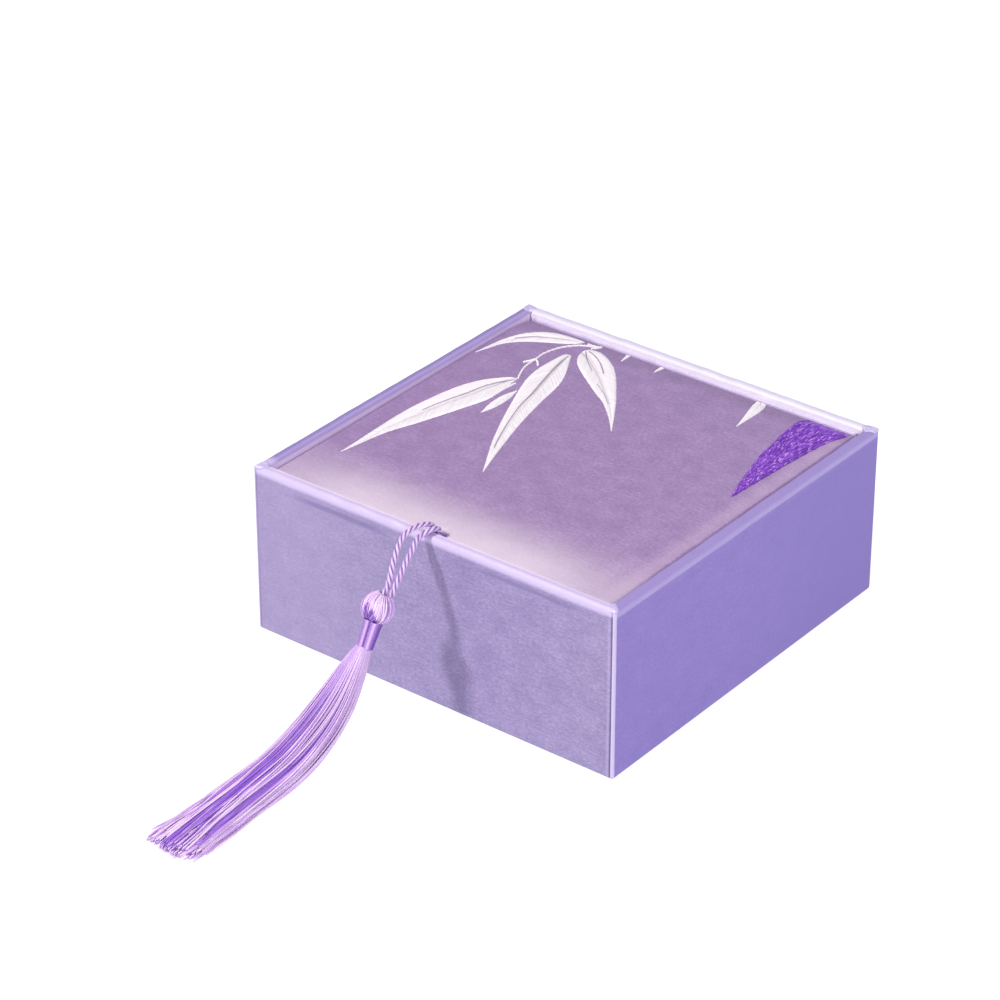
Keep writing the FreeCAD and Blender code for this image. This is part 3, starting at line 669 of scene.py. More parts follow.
def lid_surface(x, y):
    """Height of the lid's satin, the rounding at its edge included."""
    x, y = np.asarray(x, float), np.asarray(y, float)
    dx = np.maximum(np.maximum(LX0 + LID_R - x, x - (LX1 - LID_R)), 0)
    dy = np.maximum(np.maximum(LY0 + LID_R - y, y - (LY1 - LID_R)), 0)
    d = np.minimum(np.hypot(dx, dy), LID_R)
    drop = LID_DROP * (1 - np.sqrt(np.maximum(1 - (d / LID_R) ** 2, 0)))
    c = crown(x, y)
    side = 0.45 * np.exp(-np.maximum(x - LX0 - LID_R, 0) / 5.0) * step(y, -30, 25) * (1 - step(y, 38.5, 44.0))
    return LID_EDGE - 0.25 * step(y, 42.4, 45.3) + side + c + 0.05 * np.minimum(c, 1) * (lid_soft(x, y) + 0.25 * lid_fine(x, y)) - drop


def rounded_box(xs, ys, levels):
    """A grid over a rectangle whose border runs down a profile, levels = [(out, down)], with round corners."""
    n = len(levels) - 1
    border = np.arange(1, n + 1) / n
    gx = np.concatenate([np.full(n, xs[0]), xs, np.full(n, xs[-1])])
    gy = np.concatenate([np.full(n, ys[0]), ys, np.full(n, ys[-1])])
    ax = np.concatenate([-border[::-1], np.zeros(len(xs)), border])
    ay = np.concatenate([-border[::-1], np.zeros(len(ys)), border])
    a, b = np.meshgrid(ax, ay, indexing="ij")
    bx, by = np.meshgrid(gx, gy, indexing="ij")
    u, v = a * np.sqrt(1 - b * b / 2), b * np.sqrt(1 - a * a / 2)
    rho = np.hypot(u, v)
    du, dv = u / np.maximum(rho, 1e-9), v / np.maximum(rho, 1e-9)
    at = np.linspace(0, 1, n + 1)
    out, down = np.interp(rho, at, [l[0] for l in levels]), np.interp(rho, at, [l[1] for l in levels])
    return bx, by, bx + du * out, by + dv * out, down


def lid_levels():
    a = np.radians([0, 14, 27, 40, 52, 63, 74, 84, 90])
    at = [(LID_R * math.sin(t), LID_DROP * (1 - math.cos(t))) for t in a]
    return at + [(LID_R, 2.0), (LID_R, 3.3), (LID_R - 0.06, 3.85), (LID_R - 0.35, 4.16), (LID_R - 1.3, 4.22), (LID_R - 5, 4.22)]


def lid_pad():
    near = np.array([-4.6, -3.9, -3.4, -3.0, -2.7, -2.4, -2.1, -1.7, -1.2, -0.4, 0.4, 0.9, 1.3, 1.6, 1.9, 2.2, 2.6, 3.1, 3.8])
    xs = np.concatenate([np.linspace(LX0 + LID_R, -5.6, 34), near, np.linspace(4.8, LX1 - LID_R, 34)])
    ys = np.concatenate([LY0 + LID_R + np.array([0, 0.3, 0.7, 1.2, 1.8, 2.6, 3.6]), np.linspace(-40, LY1 - LID_R - 2.6, 62), LY1 - LID_R - np.array([1.6, 0.8, 0.3, 0])])
    bx, by, x, y, down = rounded_box(xs, ys, lid_levels())
    z = lid_surface(bx, by) - down
    notch = 1.22 / (1 + np.abs((x + 0.45) / 1.38) ** 12) * (1 - step(by - LY0 - LID_R, 0.2, 2.6))
    y = y + notch * (down < 4.2)
    z = z - 0.08 * notch * (down < 0.3)
    v, f, u = grid(np.stack([x, y, z], -1), np.stack([x, y - down * np.sign(by)], -1))
    nx, ny = bx.shape
    idx = np.arange(nx * ny).reshape(nx, ny)
    loop = list(idx[:, 0]) + list(idx[-1, 1:]) + list(idx[-2::-1, -1]) + list(idx[0, -2:0:-1])
    f.append([int(i) for i in loop][::-1])
    u = np.concatenate([u, np.stack([x, y], -1).reshape(-1, 2)[loop[::-1]]])
    return v, f, u


lid = piece("lid_pad_satin", lid_pad(), mauve, "lid", ("lid_cover", "lid_foam"), merge=True, outward=True)


def lining_panel():
    xs, ys = np.linspace(-45.6, 45.6, 50), np.linspace(-45.4, 45.4, 50)
    levels = [(0.8 * math.sin(t), 0.13 * (1 - math.cos(t))) for t in np.linspace(0, math.pi / 2, 6)] + [(0.8, 0.2), (0.75, 0.26), (0.4, 0.27), (-2, 0.27)]
    bx, by, x, y, down = rounded_box(xs, ys, levels)
    far = np.minimum(np.minimum(46.4 - np.abs(bx), 46.2 - np.abs(by)), 30)
    puff = 0.75 * (1 - np.exp(-np.maximum(far - 2.4, 0) / 5.0))
    soft = ripple(61, 16.0)
    z = 36.51 + down - puff - 0.08 * np.minimum(puff, 1) * soft(bx, by)
    v, f, u = grid(np.stack([x, y, z], -1), np.stack([x, y], -1))
    nx, ny = bx.shape
    idx = np.arange(nx * ny).reshape(nx, ny)
    loop = list(idx[:, 0]) + list(idx[-1, 1:]) + list(idx[-2::-1, -1]) + list(idx[0, -2:0:-1])
    f.append([int(i) for i in loop])
    u = np.concatenate([u, np.stack([x, y], -1).reshape(-1, 2)[loop]])
    return v, f, u


panel = piece("lid_lining_satin", lining_panel(), lining, "lid", ("lid_lining",), merge=True, outward=True)

# ---- embroidery -------------------------------------------------------------
# each leaf: its left and right edges from tip to base, as seen from above
leaves = {
    "a": ([(-40.66, -30.97), (-41.34, -7.84), (-39.72, 6.22), (-36.92, 14.6), (-32.71, 19.76), (-30.9, 20.4)],
          [(-40.66, -30.97), (-38.53, -18.76), (-35.78, -10.68), (-32.21, 0.52), (-29.82, 9.68), (-30.53, 19.6), (-30.9, 20.4)]),
    "b": ([(-27.19, 2.64), (-28.22, 7.28), (-28.24, 12.14), (-27.18, 16.04)],
          [(-27.19, 2.64), (-26.2, 6.76), (-26.2, 11.76), (-27.18, 16.04)]),
    "c": ([(-9.96, -18.45), (-18.01, -3.88), (-24.95, 11.67), (-29.3, 24.07), (-29.4, 35.89), (-28.0, 37.3)],
          [(-9.96, -18.45), (-16.16, 1.11), (-19.25, 13.69), (-21.83, 25.79), (-27.3, 36.6), (-28.0, 37.3)]),
    "d": ([(1.46, 13.92), (-3.19, 19.12), (-8.12, 23.62), (-11.93, 26.07), (-18.53, 30.68), (-22.92, 34.05), (-25.51, 37.03), (-26.58, 40.22)],
          [(1.46, 13.92), (-3.73, 22.27), (-8.59, 29.29), (-13.58, 35.79), (-17.43, 39.59), (-21.84, 42.41), (-24.79, 42.87), (-26.38, 41.89), (-26.58, 40.22)]),
    "e": ([(-46.5, 25.0), (-46.0, 30.0), (-45.2, 34.6), (-43.3, 39.5), (-40.1, 42.9), (-35.7, 44.7), (-31.7, 44.9), (-29.2, 44.7)],
          [(-46.5, 25.0), (-45.4, 28.6), (-43.9, 32.7), (-40.8, 36.2), (-36.9, 38.8), (-32.8, 41.2), (-30.3, 43.2), (-29.2, 44.7)]),
    "f": ([(22.45, 33.19), (20.83, 39.27), (19.5, 45.2), (19.4, 46.08)],
          [(22.45, 33.19), (22.69, 41.87), (22.2, 45.0), (21.6, 46.08)]),
    "g": ([(-16.74, 42.3), (-17.3, 44.2), (-17.7, 46.0)],
          [(-16.74, 42.3), (-16.7, 44.2), (-16.7, 46.0)]),
    "h": ([(-7.45, 42.65), (-7.85, 44.3), (-7.8, 46.0)],
          [(-7.45, 42.65), (-7.1, 44.3), (-6.8, 46.0)]),
    "violet": ([(39.81, 6.55), (37.07, 15.56), (34.77, 24.03), (33.35, 32.81), (32.41, 40.99), (32.7, 44.6), (33.6, 46.05)],
               [(39.81, 6.55), (40.48, 15.77), (41.08, 23.76), (41.79, 31.71), (42.89, 39.16), (44.3, 43.4), (45.6, 46.05)]),
}


def low(y):
    """1 over the lid, falling to 0 at its back edge, where the stitches are drawn down flat."""
    return 1 - 0.72 * step(y, 43.6, 45.0)


def lifted(points):
    """Outline points drawn for a flat lid at 40.65, carried up the line of sight onto the swollen pad."""
    p = np.array(points, float)
    q = p.copy()
    for _ in range(4):
        rise = lid_surface(q[:, 0], q[:, 1]) - 40.65
        q = p + np.stack([1.063 * rise, -1.358 * rise], 1)
    return q


def stitches(left, right, seed, gap, slant, pitch=0.23, r=0.16, rib=0.5, lift=0.20, fray=0.05):
    """Satin stitches from a leaf's rib to its two edges, over a thin bed."""
    rand = np.random.default_rng(seed)
    n = 240
    a, b = even(through(lifted(left), 160), n), even(through(lifted(right), 160), n)
    mid = a * (1 - rib) + b * rib
    length = np.linalg.norm(np.diff(mid, axis=0), axis=1).sum()
    count = int(length / pitch)
    parts = Parts()
    at = np.linspace(0, 1, n)

    def pick(line, f):
        f = np.clip(f, 0, 1)
        return np.stack([np.interp(f, at, line[:, 0]), np.interp(f, at, line[:, 1])], -1)

    f = (np.arange(count) + 0.5) / count
    t = np.linspace(0, 1, 6)
    for edge, side in ((a, -1), (b, 1)):
        wide = np.linalg.norm(pick(edge, f) - pick(mid, f), axis=1)
        ff = f + rand.normal(0, 0.12 / count, count)
        foot = pick(mid, ff + slant * wide / length)
        head = pick(edge, ff)
        d = head - foot
        lon = np.maximum(np.linalg.norm(d, axis=1, keepdims=True), 1e-6)
        head = head + d / lon * rand.normal(0, fray, (count, 1)) * np.minimum(1, lon / 1.5)
        foot = foot + d / lon * np.minimum(gap, 0.3 * lon)
        xy = foot[:, None] * (1 - t)[None, :, None] + head[:, None] * t[None, :, None]
        swell = np.sin(math.pi * np.clip(t * 0.94 + 0.03, 0, 1)) ** 0.55
        tall = lift * np.clip(lon / 2.0, 0.35, 1) * rand.uniform(0.85, 1.15, (count, 1))
        z = lid_surface(xy[..., 0], xy[..., 1]) - 0.06 + tall * swell[None] * low(xy[..., 1])
        parts.add(*tubes(np.concatenate([xy, z[..., None]], -1), r * rand.uniform(0.9, 1.1, (count, 1)), sides=6, flat=0.5))
    # bed
    cols = np.linspace(0.06, 0.94, 7)
    bed = a[::4, None] * (1 - cols)[None, :, None] + b[::4, None] * cols[None, :, None]
    z = lid_surface(bed[..., 0], bed[..., 1]) + 0.10 * np.sin(math.pi * cols)[None] ** 0.5 * low(bed[..., 1]) - 0.02
    vb, fb, ub = grid(np.concatenate([bed, z[..., None]], -1), bed)
    parts.add(vb, fb, ub)
    return parts, mid


def long_and_short(left, right, seed, pitch=0.25, r=0.17, lift=0.24):
    """Staggered stitches along a leaf, laid a little to and fro, as woven silk looks."""
    rand = np.random.default_rng(seed)
    n = 240
    a, b = even(through(lifted(left), 160), n), even(through(lifted(right), 160), n)
    width = np.linalg.norm(b - a, axis=1)
    at = np.linspace(0, 1, n)
    length = np.linalg.norm(np.diff(0.5 * (a + b), axis=0), axis=1).sum()
    lines = int(width.max() / pitch)
    parts = Parts()
    k = np.linspace(0, 1, 6)
    for j in range(lines):
        c = (j + 0.5) / lines
        room = pitch * lines / (1 + (j % 2) + 2 * (j % 4 == 1)) * 0.42
        first = at[np.argmax(width > room)] if j % 2 else 0.0
        t = first - rand.uniform(0, 0.05)
        while t < 1:
            long = rand.uniform(0.9, 2.4) / length
            t0, t1 = max(t, first), min(t + long, 1.0)
            t += long * 0.82
            if t1 - t0 < 0.008:
                continue
            tt = t0 + (t1 - t0) * k
            lean = rand.choice((-1, 1)) * rand.uniform(0.2, 0.8) * pitch * 2.6
            w = np.maximum(np.interp(tt, at, width), 0.05)
            cc = np.clip(c + (k - 0.5) * lean / w, -0.01 - 0.15 * (rand.random() < 0.2) / w, 1.01)
            pa = np.stack([np.interp(tt, at, a[:, 0]), np.interp(tt, at, a[:, 1])], -1)
            pb = np.stack([np.interp(tt, at, b[:, 0]), np.interp(tt, at, b[:, 1])], -1)
            xy = pa * (1 - cc)[:, None] + pb * cc[:, None]
            z = lid_surface(xy[:, 0], xy[:, 1]) - 0.10 + (low(xy[:, 1]) - 0.26) / 0.74 * (0.06 + lift * rand.uniform(0.7, 1.2) * np.sin(math.pi * np.clip(k * 0.94 + 0.03, 0, 1)) ** 0.6)
            parts.add(*tubes(np.concatenate([xy, z[:, None]], -1), r * rand.uniform(0.8, 1.15), sides=5, flat=0.8))
    cols = np.linspace(0.03, 0.97, 9)
    bed = a[::4, None] * (1 - cols)[None, :, None] + b[::4, None] * cols[None, :, None]
    z = lid_surface(bed[..., 0], bed[..., 1]) + 0.07 * np.sin(math.pi * cols)[None] ** 0.5 * low(bed[..., 1]) - 0.02
    parts.add(*grid(np.concatenate([bed, z[..., None]], -1), bed))
    return parts


def stem(points, r, n=60, lift=0.1):
    line = even(through(points, 200), n)
    z = lid_surface(line[:, 0], line[:, 1]) + lift * low(line[:, 1]) - 0.12 * (1 - low(line[:, 1]))
    p = np.concatenate([line, z[:, None]], 1)
    s = np.concatenate([[0], np.cumsum(np.linalg.norm(np.diff(p, axis=0), axis=1))])
    side = np.stack([-np.gradient(line[:, 1]), np.gradient(line[:, 0])], 1)
    side = np.concatenate([unit(side), np.zeros((n, 1))], 1)
    out = Parts()
    for k in (0, math.pi):
        a = 2 * math.pi * s / 1.5 + k
        out.add(*tubes(p + 0.55 * r * (np.cos(a)[:, None] * side + np.sin(a)[:, None] * np.array([0, 0, 1.0])), 0.62 * r, sides=6))
    return out


white, violet, veins = Parts(), Parts(), Parts()
ribs = [([(-30.78, 19.49), (-32.6, 16.6), (-34.29, 12.83), (-35.26, 8.17), (-36.47, 3.84), (-37.55, -0.61), (-38.26, -4.77)], 0.13),
        ([(-27.82, 36.47), (-27.14, 31.37), (-25.47, 24.63), (-23.31, 16.56), (-21.97, 10.38), (-19.22, 2.43), (-16.55, -4.26), (-14.61, -8.53)], 0.14),
        ([(-25.47, 41.46), (-22.41, 40.08), (-19.51, 37.97), (-16.12, 34.66)], 0.17), ([(-26.31, 41.18), (-23.16, 37.61), (-19.02, 34.0)], 0.10),
        ([(-14.34, 29.67), (-10.21, 26.81), (-6.66, 23.56)], 0.10), ([(-43.4, 36.0), (-40.6, 39.2), (-36.2, 41.6), (-32.6, 43.2)], 0.09)]
spec = {"a": (0.16, 1.5, 0.5), "b": (0.12, 1.3, 0.5), "c": (0.17, 1.5, 0.52), "d": (0.16, 1.5, 0.45), "e": (0.14, 1.4, 0.5), "f": (0.10, 1.2, 0.5), "g": (0.06, 1.0, 0.5), "h": (0.06, 1.0, 0.5)}
for i, (name, (gap, slant, rib)) in enumerate(spec.items()):
    made, mid = stitches(*leaves[name], seed=70 + i, gap=gap, slant=slant, rib=rib)
    white.add(*made.all())
for pts, r in ribs:
    veins.add(*stem(lifted(pts), r, n=120, lift=0.19).all())
violet.add(*long_and_short(*leaves["violet"], seed=90).all())
for pts, r in (([(-30.53, 20.67), (-32.31, 24.84), (-32.9, 27.49), (-33.07, 30.73), (-33.29, 34.08), (-32.67, 37.09), (-31.38, 40.0), (-29.53, 42.2), (-27.58, 43.48), (-25.69, 44.3), (-24.6, 45.2)], 0.30),
               ([(-34.42, 27.79), (-33.62, 29.18), (-33.07, 30.73)], 0.28), ([(-33.07, 30.73), (-31.98, 30.08), (-30.71, 28.58)], 0.28),
               ([(-29.78, 10.05), (-29.8, 14.51), (-29.41, 18.48)], 0.26),
               ([(-28.05, 44.4), (-25.8, 44.7), (-24.5, 45.4)], 0.26), ([(-26.0, 42.94), (-24.84, 44.1), (-24.5, 45.3)], 0.26)):
    white.add(*stem(lifted(pts), r).all())
piece("white_leaf_stitches", white.all(), white_silk, "lid", ("white_leaf_embroidery",))
piece("leaf_vein_stitches", veins.all(), grey_silk, "lid", ())
piece("violet_leaf_stitches", violet.all(), violet_silk, "lid", ("violet_leaf_embroidery",))


# ---- hinge cloth ------------------------------------------------------------
def hinge_cloth():
    prof = [(47.38, z) for z in (30.5, 33, 35.5, 37.5, 39, 40)]
    prof += [(47.1 + 0.28 * math.cos(a), 40.5 + 0.28 * math.sin(a)) for a in np.linspace(0, math.pi, 11)]
    prof += [(46.82, z) for z in (40, 39.2, 38.2, 37.3)]
    y, z = np.array(prof).T
    x = np.linspace(-46, 46, 94)
    wob = ripple(5, 8.0)
    zz = z[:, None] + 0.05 * step(z, 40.45, 40.7)[:, None] * wob(x, 0)[None]
    pts = np.stack([np.broadcast_to(x[None], zz.shape), np.broadcast_to(y[:, None], zz.shape), zz], -1)
    v = arc_length(y, z)
    return grid(pts, np.stack([np.broadcast_to(x[None], zz.shape), np.broadcast_to(v[:, None], zz.shape)], -1))


strip = piece("hinge_strip_satin", hinge_cloth(), hinge_satin_highlight, None, ("hinge_strip",), thick=0.16, inset=0.0)
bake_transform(strip)


# ---- inside: lined walls, padded insert --------------------------------------
def liner_cloth(half, reach, seed):
    """Up the inner face, over the ledge, to the wall."""
    face, r = 45.70, 0.5
    prof = [(face, z) for z in (2.5, 6, 10, 14, 18, 22, 26, 29, 32, 34, 35.2)]
    prof += [(face + r - r * math.cos(a), 36.44 - r + r * math.sin(a)) for a in np.linspace(0, math.pi / 2, 7)]
    prof += [(face + k, 36.44) for k in (0.9, 1.3)] + [(reach, 36.42)]
    d, z = np.array(prof).T
    x = np.linspace(-half, half, 80)
    slow = ripple(seed, 22.0)
    soft = (z < 35.5)[:, None] * step(z, 2, 8)[:, None]
    dd = d[:, None] + 0.05 * soft * (slow(x[None], z[:, None]) - 0.4)
    pts = np.stack([np.broadcast_to(x[None], dd.shape), -dd, np.broadcast_to(z[:, None], dd.shape)], -1)
    v = arc_length(d, z)
    return grid(pts, np.stack([np.broadcast_to(x[None], dd.shape), np.broadcast_to(v[:, None], dd.shape)], -1))


for name, quarter, half, reach, seed in (("front", 0, 47.4, 47.42, 101), ("right", 1, 45.62, 47.42, 102), ("back", 2, 47.4, 47.17, 103), ("left", 3, 45.62, 47.42, 104)):
    v, f, u = liner_cloth(half, reach, seed)
    piece(name + "_liner_satin", (turned(v, quarter), f, u), lining, "box", (name + "_liner_cloth",), thick=0.18, inset=-1.0)


def pleats(theta, count, seed, sharp=3.0):
    """Uneven gathers round a circle, 0 to 1."""
    r = np.random.default_rng(seed)
    wander = sum(r.uniform(0.2, 0.6) * np.sin(k * theta + r.uniform(0, 6.28)) for k in (3, 5, 8, 13))
    return np.abs(np.sin(count * theta / 2 + wander)) ** sharp * (0.7 + 0.3 * np.sin(7 * theta + seed))


def insert_cushion():
    th = np.linspace(0, 2 * math.pi, 360, endpoint=False)
    c, s = np.cos(th), np.sin(th)
    outer = 45.5 / (np.abs(c) ** 18 + np.abs(s) ** 18) ** (1 / 18)
    mouth = 37.8
    g = pleats(th, 64, 3)
    rows = []
    for z in (4.3, 8, 12, 16, 19, 21):
        k = 0.16 * step(z, 4, 20)
        rows.append((np.full_like(th, mouth) + 0.05 - k * g, np.full_like(th, z)))
    for a in np.linspace(0, math.pi / 2, 8)[1:]:
        rows.append((mouth + 2.7 - 2.7 * math.cos(a) - 0.2 * g * math.cos(a), 21.9 + 2.7 * math.sin(a) + 0.22 * g * math.sin(a)))
    for k in np.linspace(0.1, 0.9, 7):
        wide = outer - 2.7 - (mouth + 2.7)
        rows.append((mouth + 2.7 + k * wide, 24.6 + 0.55 * np.sin(math.pi * k) * np.minimum(wide / 6, 1.6) + 0.22 * g * (1 - k) ** 2))
    for a in np.linspace(math.pi / 2, 0, 8):
        rows.append((outer - 2.7 + 2.7 * math.cos(a), np.full_like(th, 21.9 + 2.7 * math.sin(a))))
    for z in (18, 12, 6, 4.2):
        rows.append((outer, np.full_like(th, z)))
    r, z = np.array([a for a, _ in rows]), np.array([b for _, b in rows])
    pts = np.stack([r * c, r * s, z], -1)
    v = np.concatenate([np.zeros((1, len(th))), np.cumsum(np.hypot(np.diff(r, axis=0), np.diff(z, axis=0)), axis=0)])
    u = np.broadcast_to((np.append(th, 2 * math.pi) * 40)[None], (len(rows), len(th) + 1))
    uv = np.stack([u, np.concatenate([v, v[:, :1]], 1)], -1)
    pts, uv = np.concatenate([pts, pts[:1]]), np.concatenate([uv, uv[:1]])
    return grid(pts, uv, wrap_v=True)


cushion = piece("insert_cushion_satin", insert_cushion(), lining, "box", ("insert_cover", "insert_foam"), merge=True, outward=True)


def core_cushion():
    th = np.linspace(0, 2 * math.pi, 240, endpoint=False)
    g = pleats(th, 48, 9)
    rows = [(np.full_like(th, 2.0), np.full_like(th, 4.22)), (np.full_like(th, 22.6), np.full_like(th, 4.22))]
    for z in (4.5, 6, 8.5, 11, 13):
        rows.append((23.2 - 0.14 * g * step(z, 4, 12), np.full_like(th, z)))
    for a in np.linspace(0, math.pi / 2, 9)[1:]:
        rows.append((20.5 + 2.7 * math.cos(a) - 0.14 * g * math.cos(a), 14.0 + 2.7 * math.sin(a) + 0.1 * g * math.sin(a)))
    for k in np.linspace(0.92, 0.02, 14):
        rows.append((20.5 * k + 0 * th, 16.7 + 0.9 * (1 - k * k) + 0.1 * g * k ** 6))
    r, z = np.array([a for a, _ in rows]), np.array([b for _, b in rows])
    pts = np.stack([r * np.cos(th), r * np.sin(th), z], -1)
    x, y = pts[..., 0], pts[..., 1]
    v = np.concatenate([np.zeros((1, len(th))), np.cumsum(np.hypot(np.diff(r, axis=0), np.diff(z, axis=0)), axis=0)])
    u = np.broadcast_to((np.append(th, 2 * math.pi) * 23)[None], (len(rows), len(th) + 1))
    flat = np.stack([np.concatenate([x, x[:, :1]], 1), np.concatenate([y, y[:, :1]], 1)], -1)
    uv = np.stack([u, np.concatenate([v, v[:, :1]], 1)], -1)
    uv[-15:] = flat[-15:]
    vv, f, uu = grid(pts, uv, wrap_v=True)
    n = len(th)
    f += [[int(i) for i in range(n)][::-1], [int(i) for i in range(len(vv) - n, len(vv))]]
    uu = np.concatenate([uu, vv[:n, :2][::-1], vv[-n:, :2]])
    return vv, f, uu


core = piece("insert_core_satin", core_cushion(), lining, "box", ("insert_core_cover", "insert_core"), outward=True)


def floor_cloth():
    th = np.linspace(0, 2 * math.pi, 120, endpoint=False)
    r = np.array([0.6, 6, 12, 18, 22, 23.6, 25, 27, 29, 31, 33, 35, 36.5, 37.4])
    soft = ripple(13, 9.0)
    x, y = r[:, None] * np.cos(th), r[:, None] * np.sin(th)
    z = 4.08 + 0.04 * soft(x, y) * step(r, 23.4, 26)[:, None]
    pts = np.stack([x, y, z], -1)
    uv = np.concatenate([pts[..., :2], pts[:, :1, :2]], 1)
    v, f, u = grid(pts, uv, wrap_v=True)
    n = len(th)
    f.append([int(i) for i in range(n)])
    return v, f, np.concatenate([u, v[:n, :2]])


well_floor = piece("insert_floor_satin", floor_cloth(), lining, "box", ("insert_floor_cloth",), thick=0.14, inset=1.0)

# ---- tassel: bead, neck, fringe ----------------------------------------------
BEAD = np.array([-0.8, -66.3, 31.9])
AX = unit(np.array([-0.063, -0.496, -0.866]))
HOLE = -unit(np.array([0.27, 0.60, 0.753]))
EYE = unit(np.array([0.533, -0.681, 0.502]))


def round_axis(w):
    e1 = unit(EYE - (EYE @ w) * w)
    return e1, np.cross(w, e1)


def bead_threads():
    """Threads laid aslant from hole to hole; low in front they end raggedly and show the darker layer, a painted shade.
    """
    rand = np.random.default_rng(17)
    n, m = 132, 28
    w = unit(HOLE + 0.9 * AX)
    e1, e2 = round_axis(w)
    th = 2 * math.pi * (np.arange(n) + 0.5) / n - math.pi
    stop = 153 - 52 * np.exp(-(np.abs(th - 0.25) / 0.72) ** 3) + rand.normal(0, 9, n) * np.exp(-(np.abs(th - 0.25) / 1.0) ** 3)
    k = np.linspace(0, 1, m)
    a = np.radians(25 + (stop[:, None] - 25) * k[None])
    t = th[:, None] + 0.75 - 1.0 * a / math.pi + rand.normal(0, 0.035, (n, 1)) + 0.06 * np.sin(2.2 * a + rand.uniform(0, 6.28, (n, 1)))
    rad = 3.6 + rand.normal(0, 0.06, (n, 1)) + 0.05 * np.sin(3 * a + rand.uniform(0, 6.28, (n, 1)))
    rad = rad - 0.2 * (stop < 145)[:, None] * step(k, 0.86, 1.0)[None]
    p = BEAD + (-np.cos(a) * rad)[..., None] * w + (0.95 * rad * np.sin(a))[..., None] * (np.cos(t)[..., None] * e1 + np.sin(t)[..., None] * e2)
    r = 0.16 * np.clip(np.sin(a), 0.4, 1) * rand.uniform(0.8, 1.2, (n, 1)) * (1 - 0.6 * (stop < 145)[:, None] * step(k, 0.8, 1.0)[None])
    return tubes(p, r, sides=6)


def bead_shade_layer():
    """The darker layer beneath, a painted shade where the bead's lower front is in shade."""
    rand = np.random.default_rng(18)
    n, m = 78, 20
    w = unit(HOLE + 0.9 * AX)
    e1, e2 = round_axis(w)
    a = np.radians(np.linspace(27, 156, m))
    t = (2 * math.pi * np.arange(n) / n)[:, None] + rand.normal(0, 0.02, (n, 1)) + 0.25 * np.linspace(-1, 1, m)[None]
    rad = 3.4 + rand.normal(0, 0.04, (n, 1)) + 0 * a[None]
    p = BEAD + (-np.cos(a)[None] * rad)[..., None] * w + (0.95 * rad * np.sin(a)[None])[..., None] * (np.cos(t)[..., None] * e1 + np.sin(t)[..., None] * e2)
    return tubes(p, 0.22 * np.clip(np.sin(a), 0.5, 1)[None] * np.ones((n, 1)), sides=6)


bead = piece("tassel_bead_threads", bead_threads(), bead_silk, "tassel", ("tassel_bead_thread",))
piece("tassel_bead_under", bead_shade_layer(), bead_shade_silk, "tassel", ())

NECK_TOP, NECK_END = BEAD + 2.85 * AX + np.array([0.12, 0, 0]), BEAD + 9.25 * AX + np.array([0.42, 0.1, 0])
NECK_W = unit(NECK_END - NECK_TOP)


def neck_wrap():
    turns, per = 29.0, 44
    k = np.linspace(0, 1, int(turns * per) + 1)
    e1, e2 = round_axis(NECK_W)
    a = 2 * math.pi * turns * k
    turn = (a + math.pi) % (2 * math.pi) - math.pi
    r = 1.98 - 0.28 * k + 0.08 * np.exp(-(k / 0.09) ** 2) + 0.012 * np.sin(a * 0.37) - 0.2 * np.exp(-((turn - 0.28) / 0.17) ** 2)
    p = NECK_TOP + (0.2 + (np.linalg.norm(NECK_END - NECK_TOP) - 0.4) * k)[:, None] * NECK_W + r[:, None] * (np.cos(a)[:, None] * e1 + np.sin(a)[:, None] * e2)
    v, f, u = tubes(p, 0.135, sides=7)
    s = np.concatenate([[0], np.cumsum(np.linalg.norm(np.diff(p, axis=0), axis=1))])
    # the turns are counted from the side facing the camera, where the neck's painted streaks are set
    u[:, 1] = np.interp(u[:, 1], s, turns * k)     # v counts the turns, from the side that faces front
    return v, f, u


neck = piece("tassel_neck_wrap", neck_wrap(), neck_silk, "tassel", ("tassel_neck_thread",))

SKIRT = np.array([(-1.2, -71.1, 23.5, 2.0, 2.0), (-1.8, -74.3, 19.3, 3.5, 3.4), (-2.25, -80.2, 13.4, 5.1, 4.7), (-2.65, -87.8, 8.7, 5.9, 5.1),
                  (-3.2, -97.45, 5.6, 6.4, 4.4), (-4.1, -112.5, 3.8, 6.7, 3.3), (-5.4, -129.6, 2.0, 6.9, 1.75)])


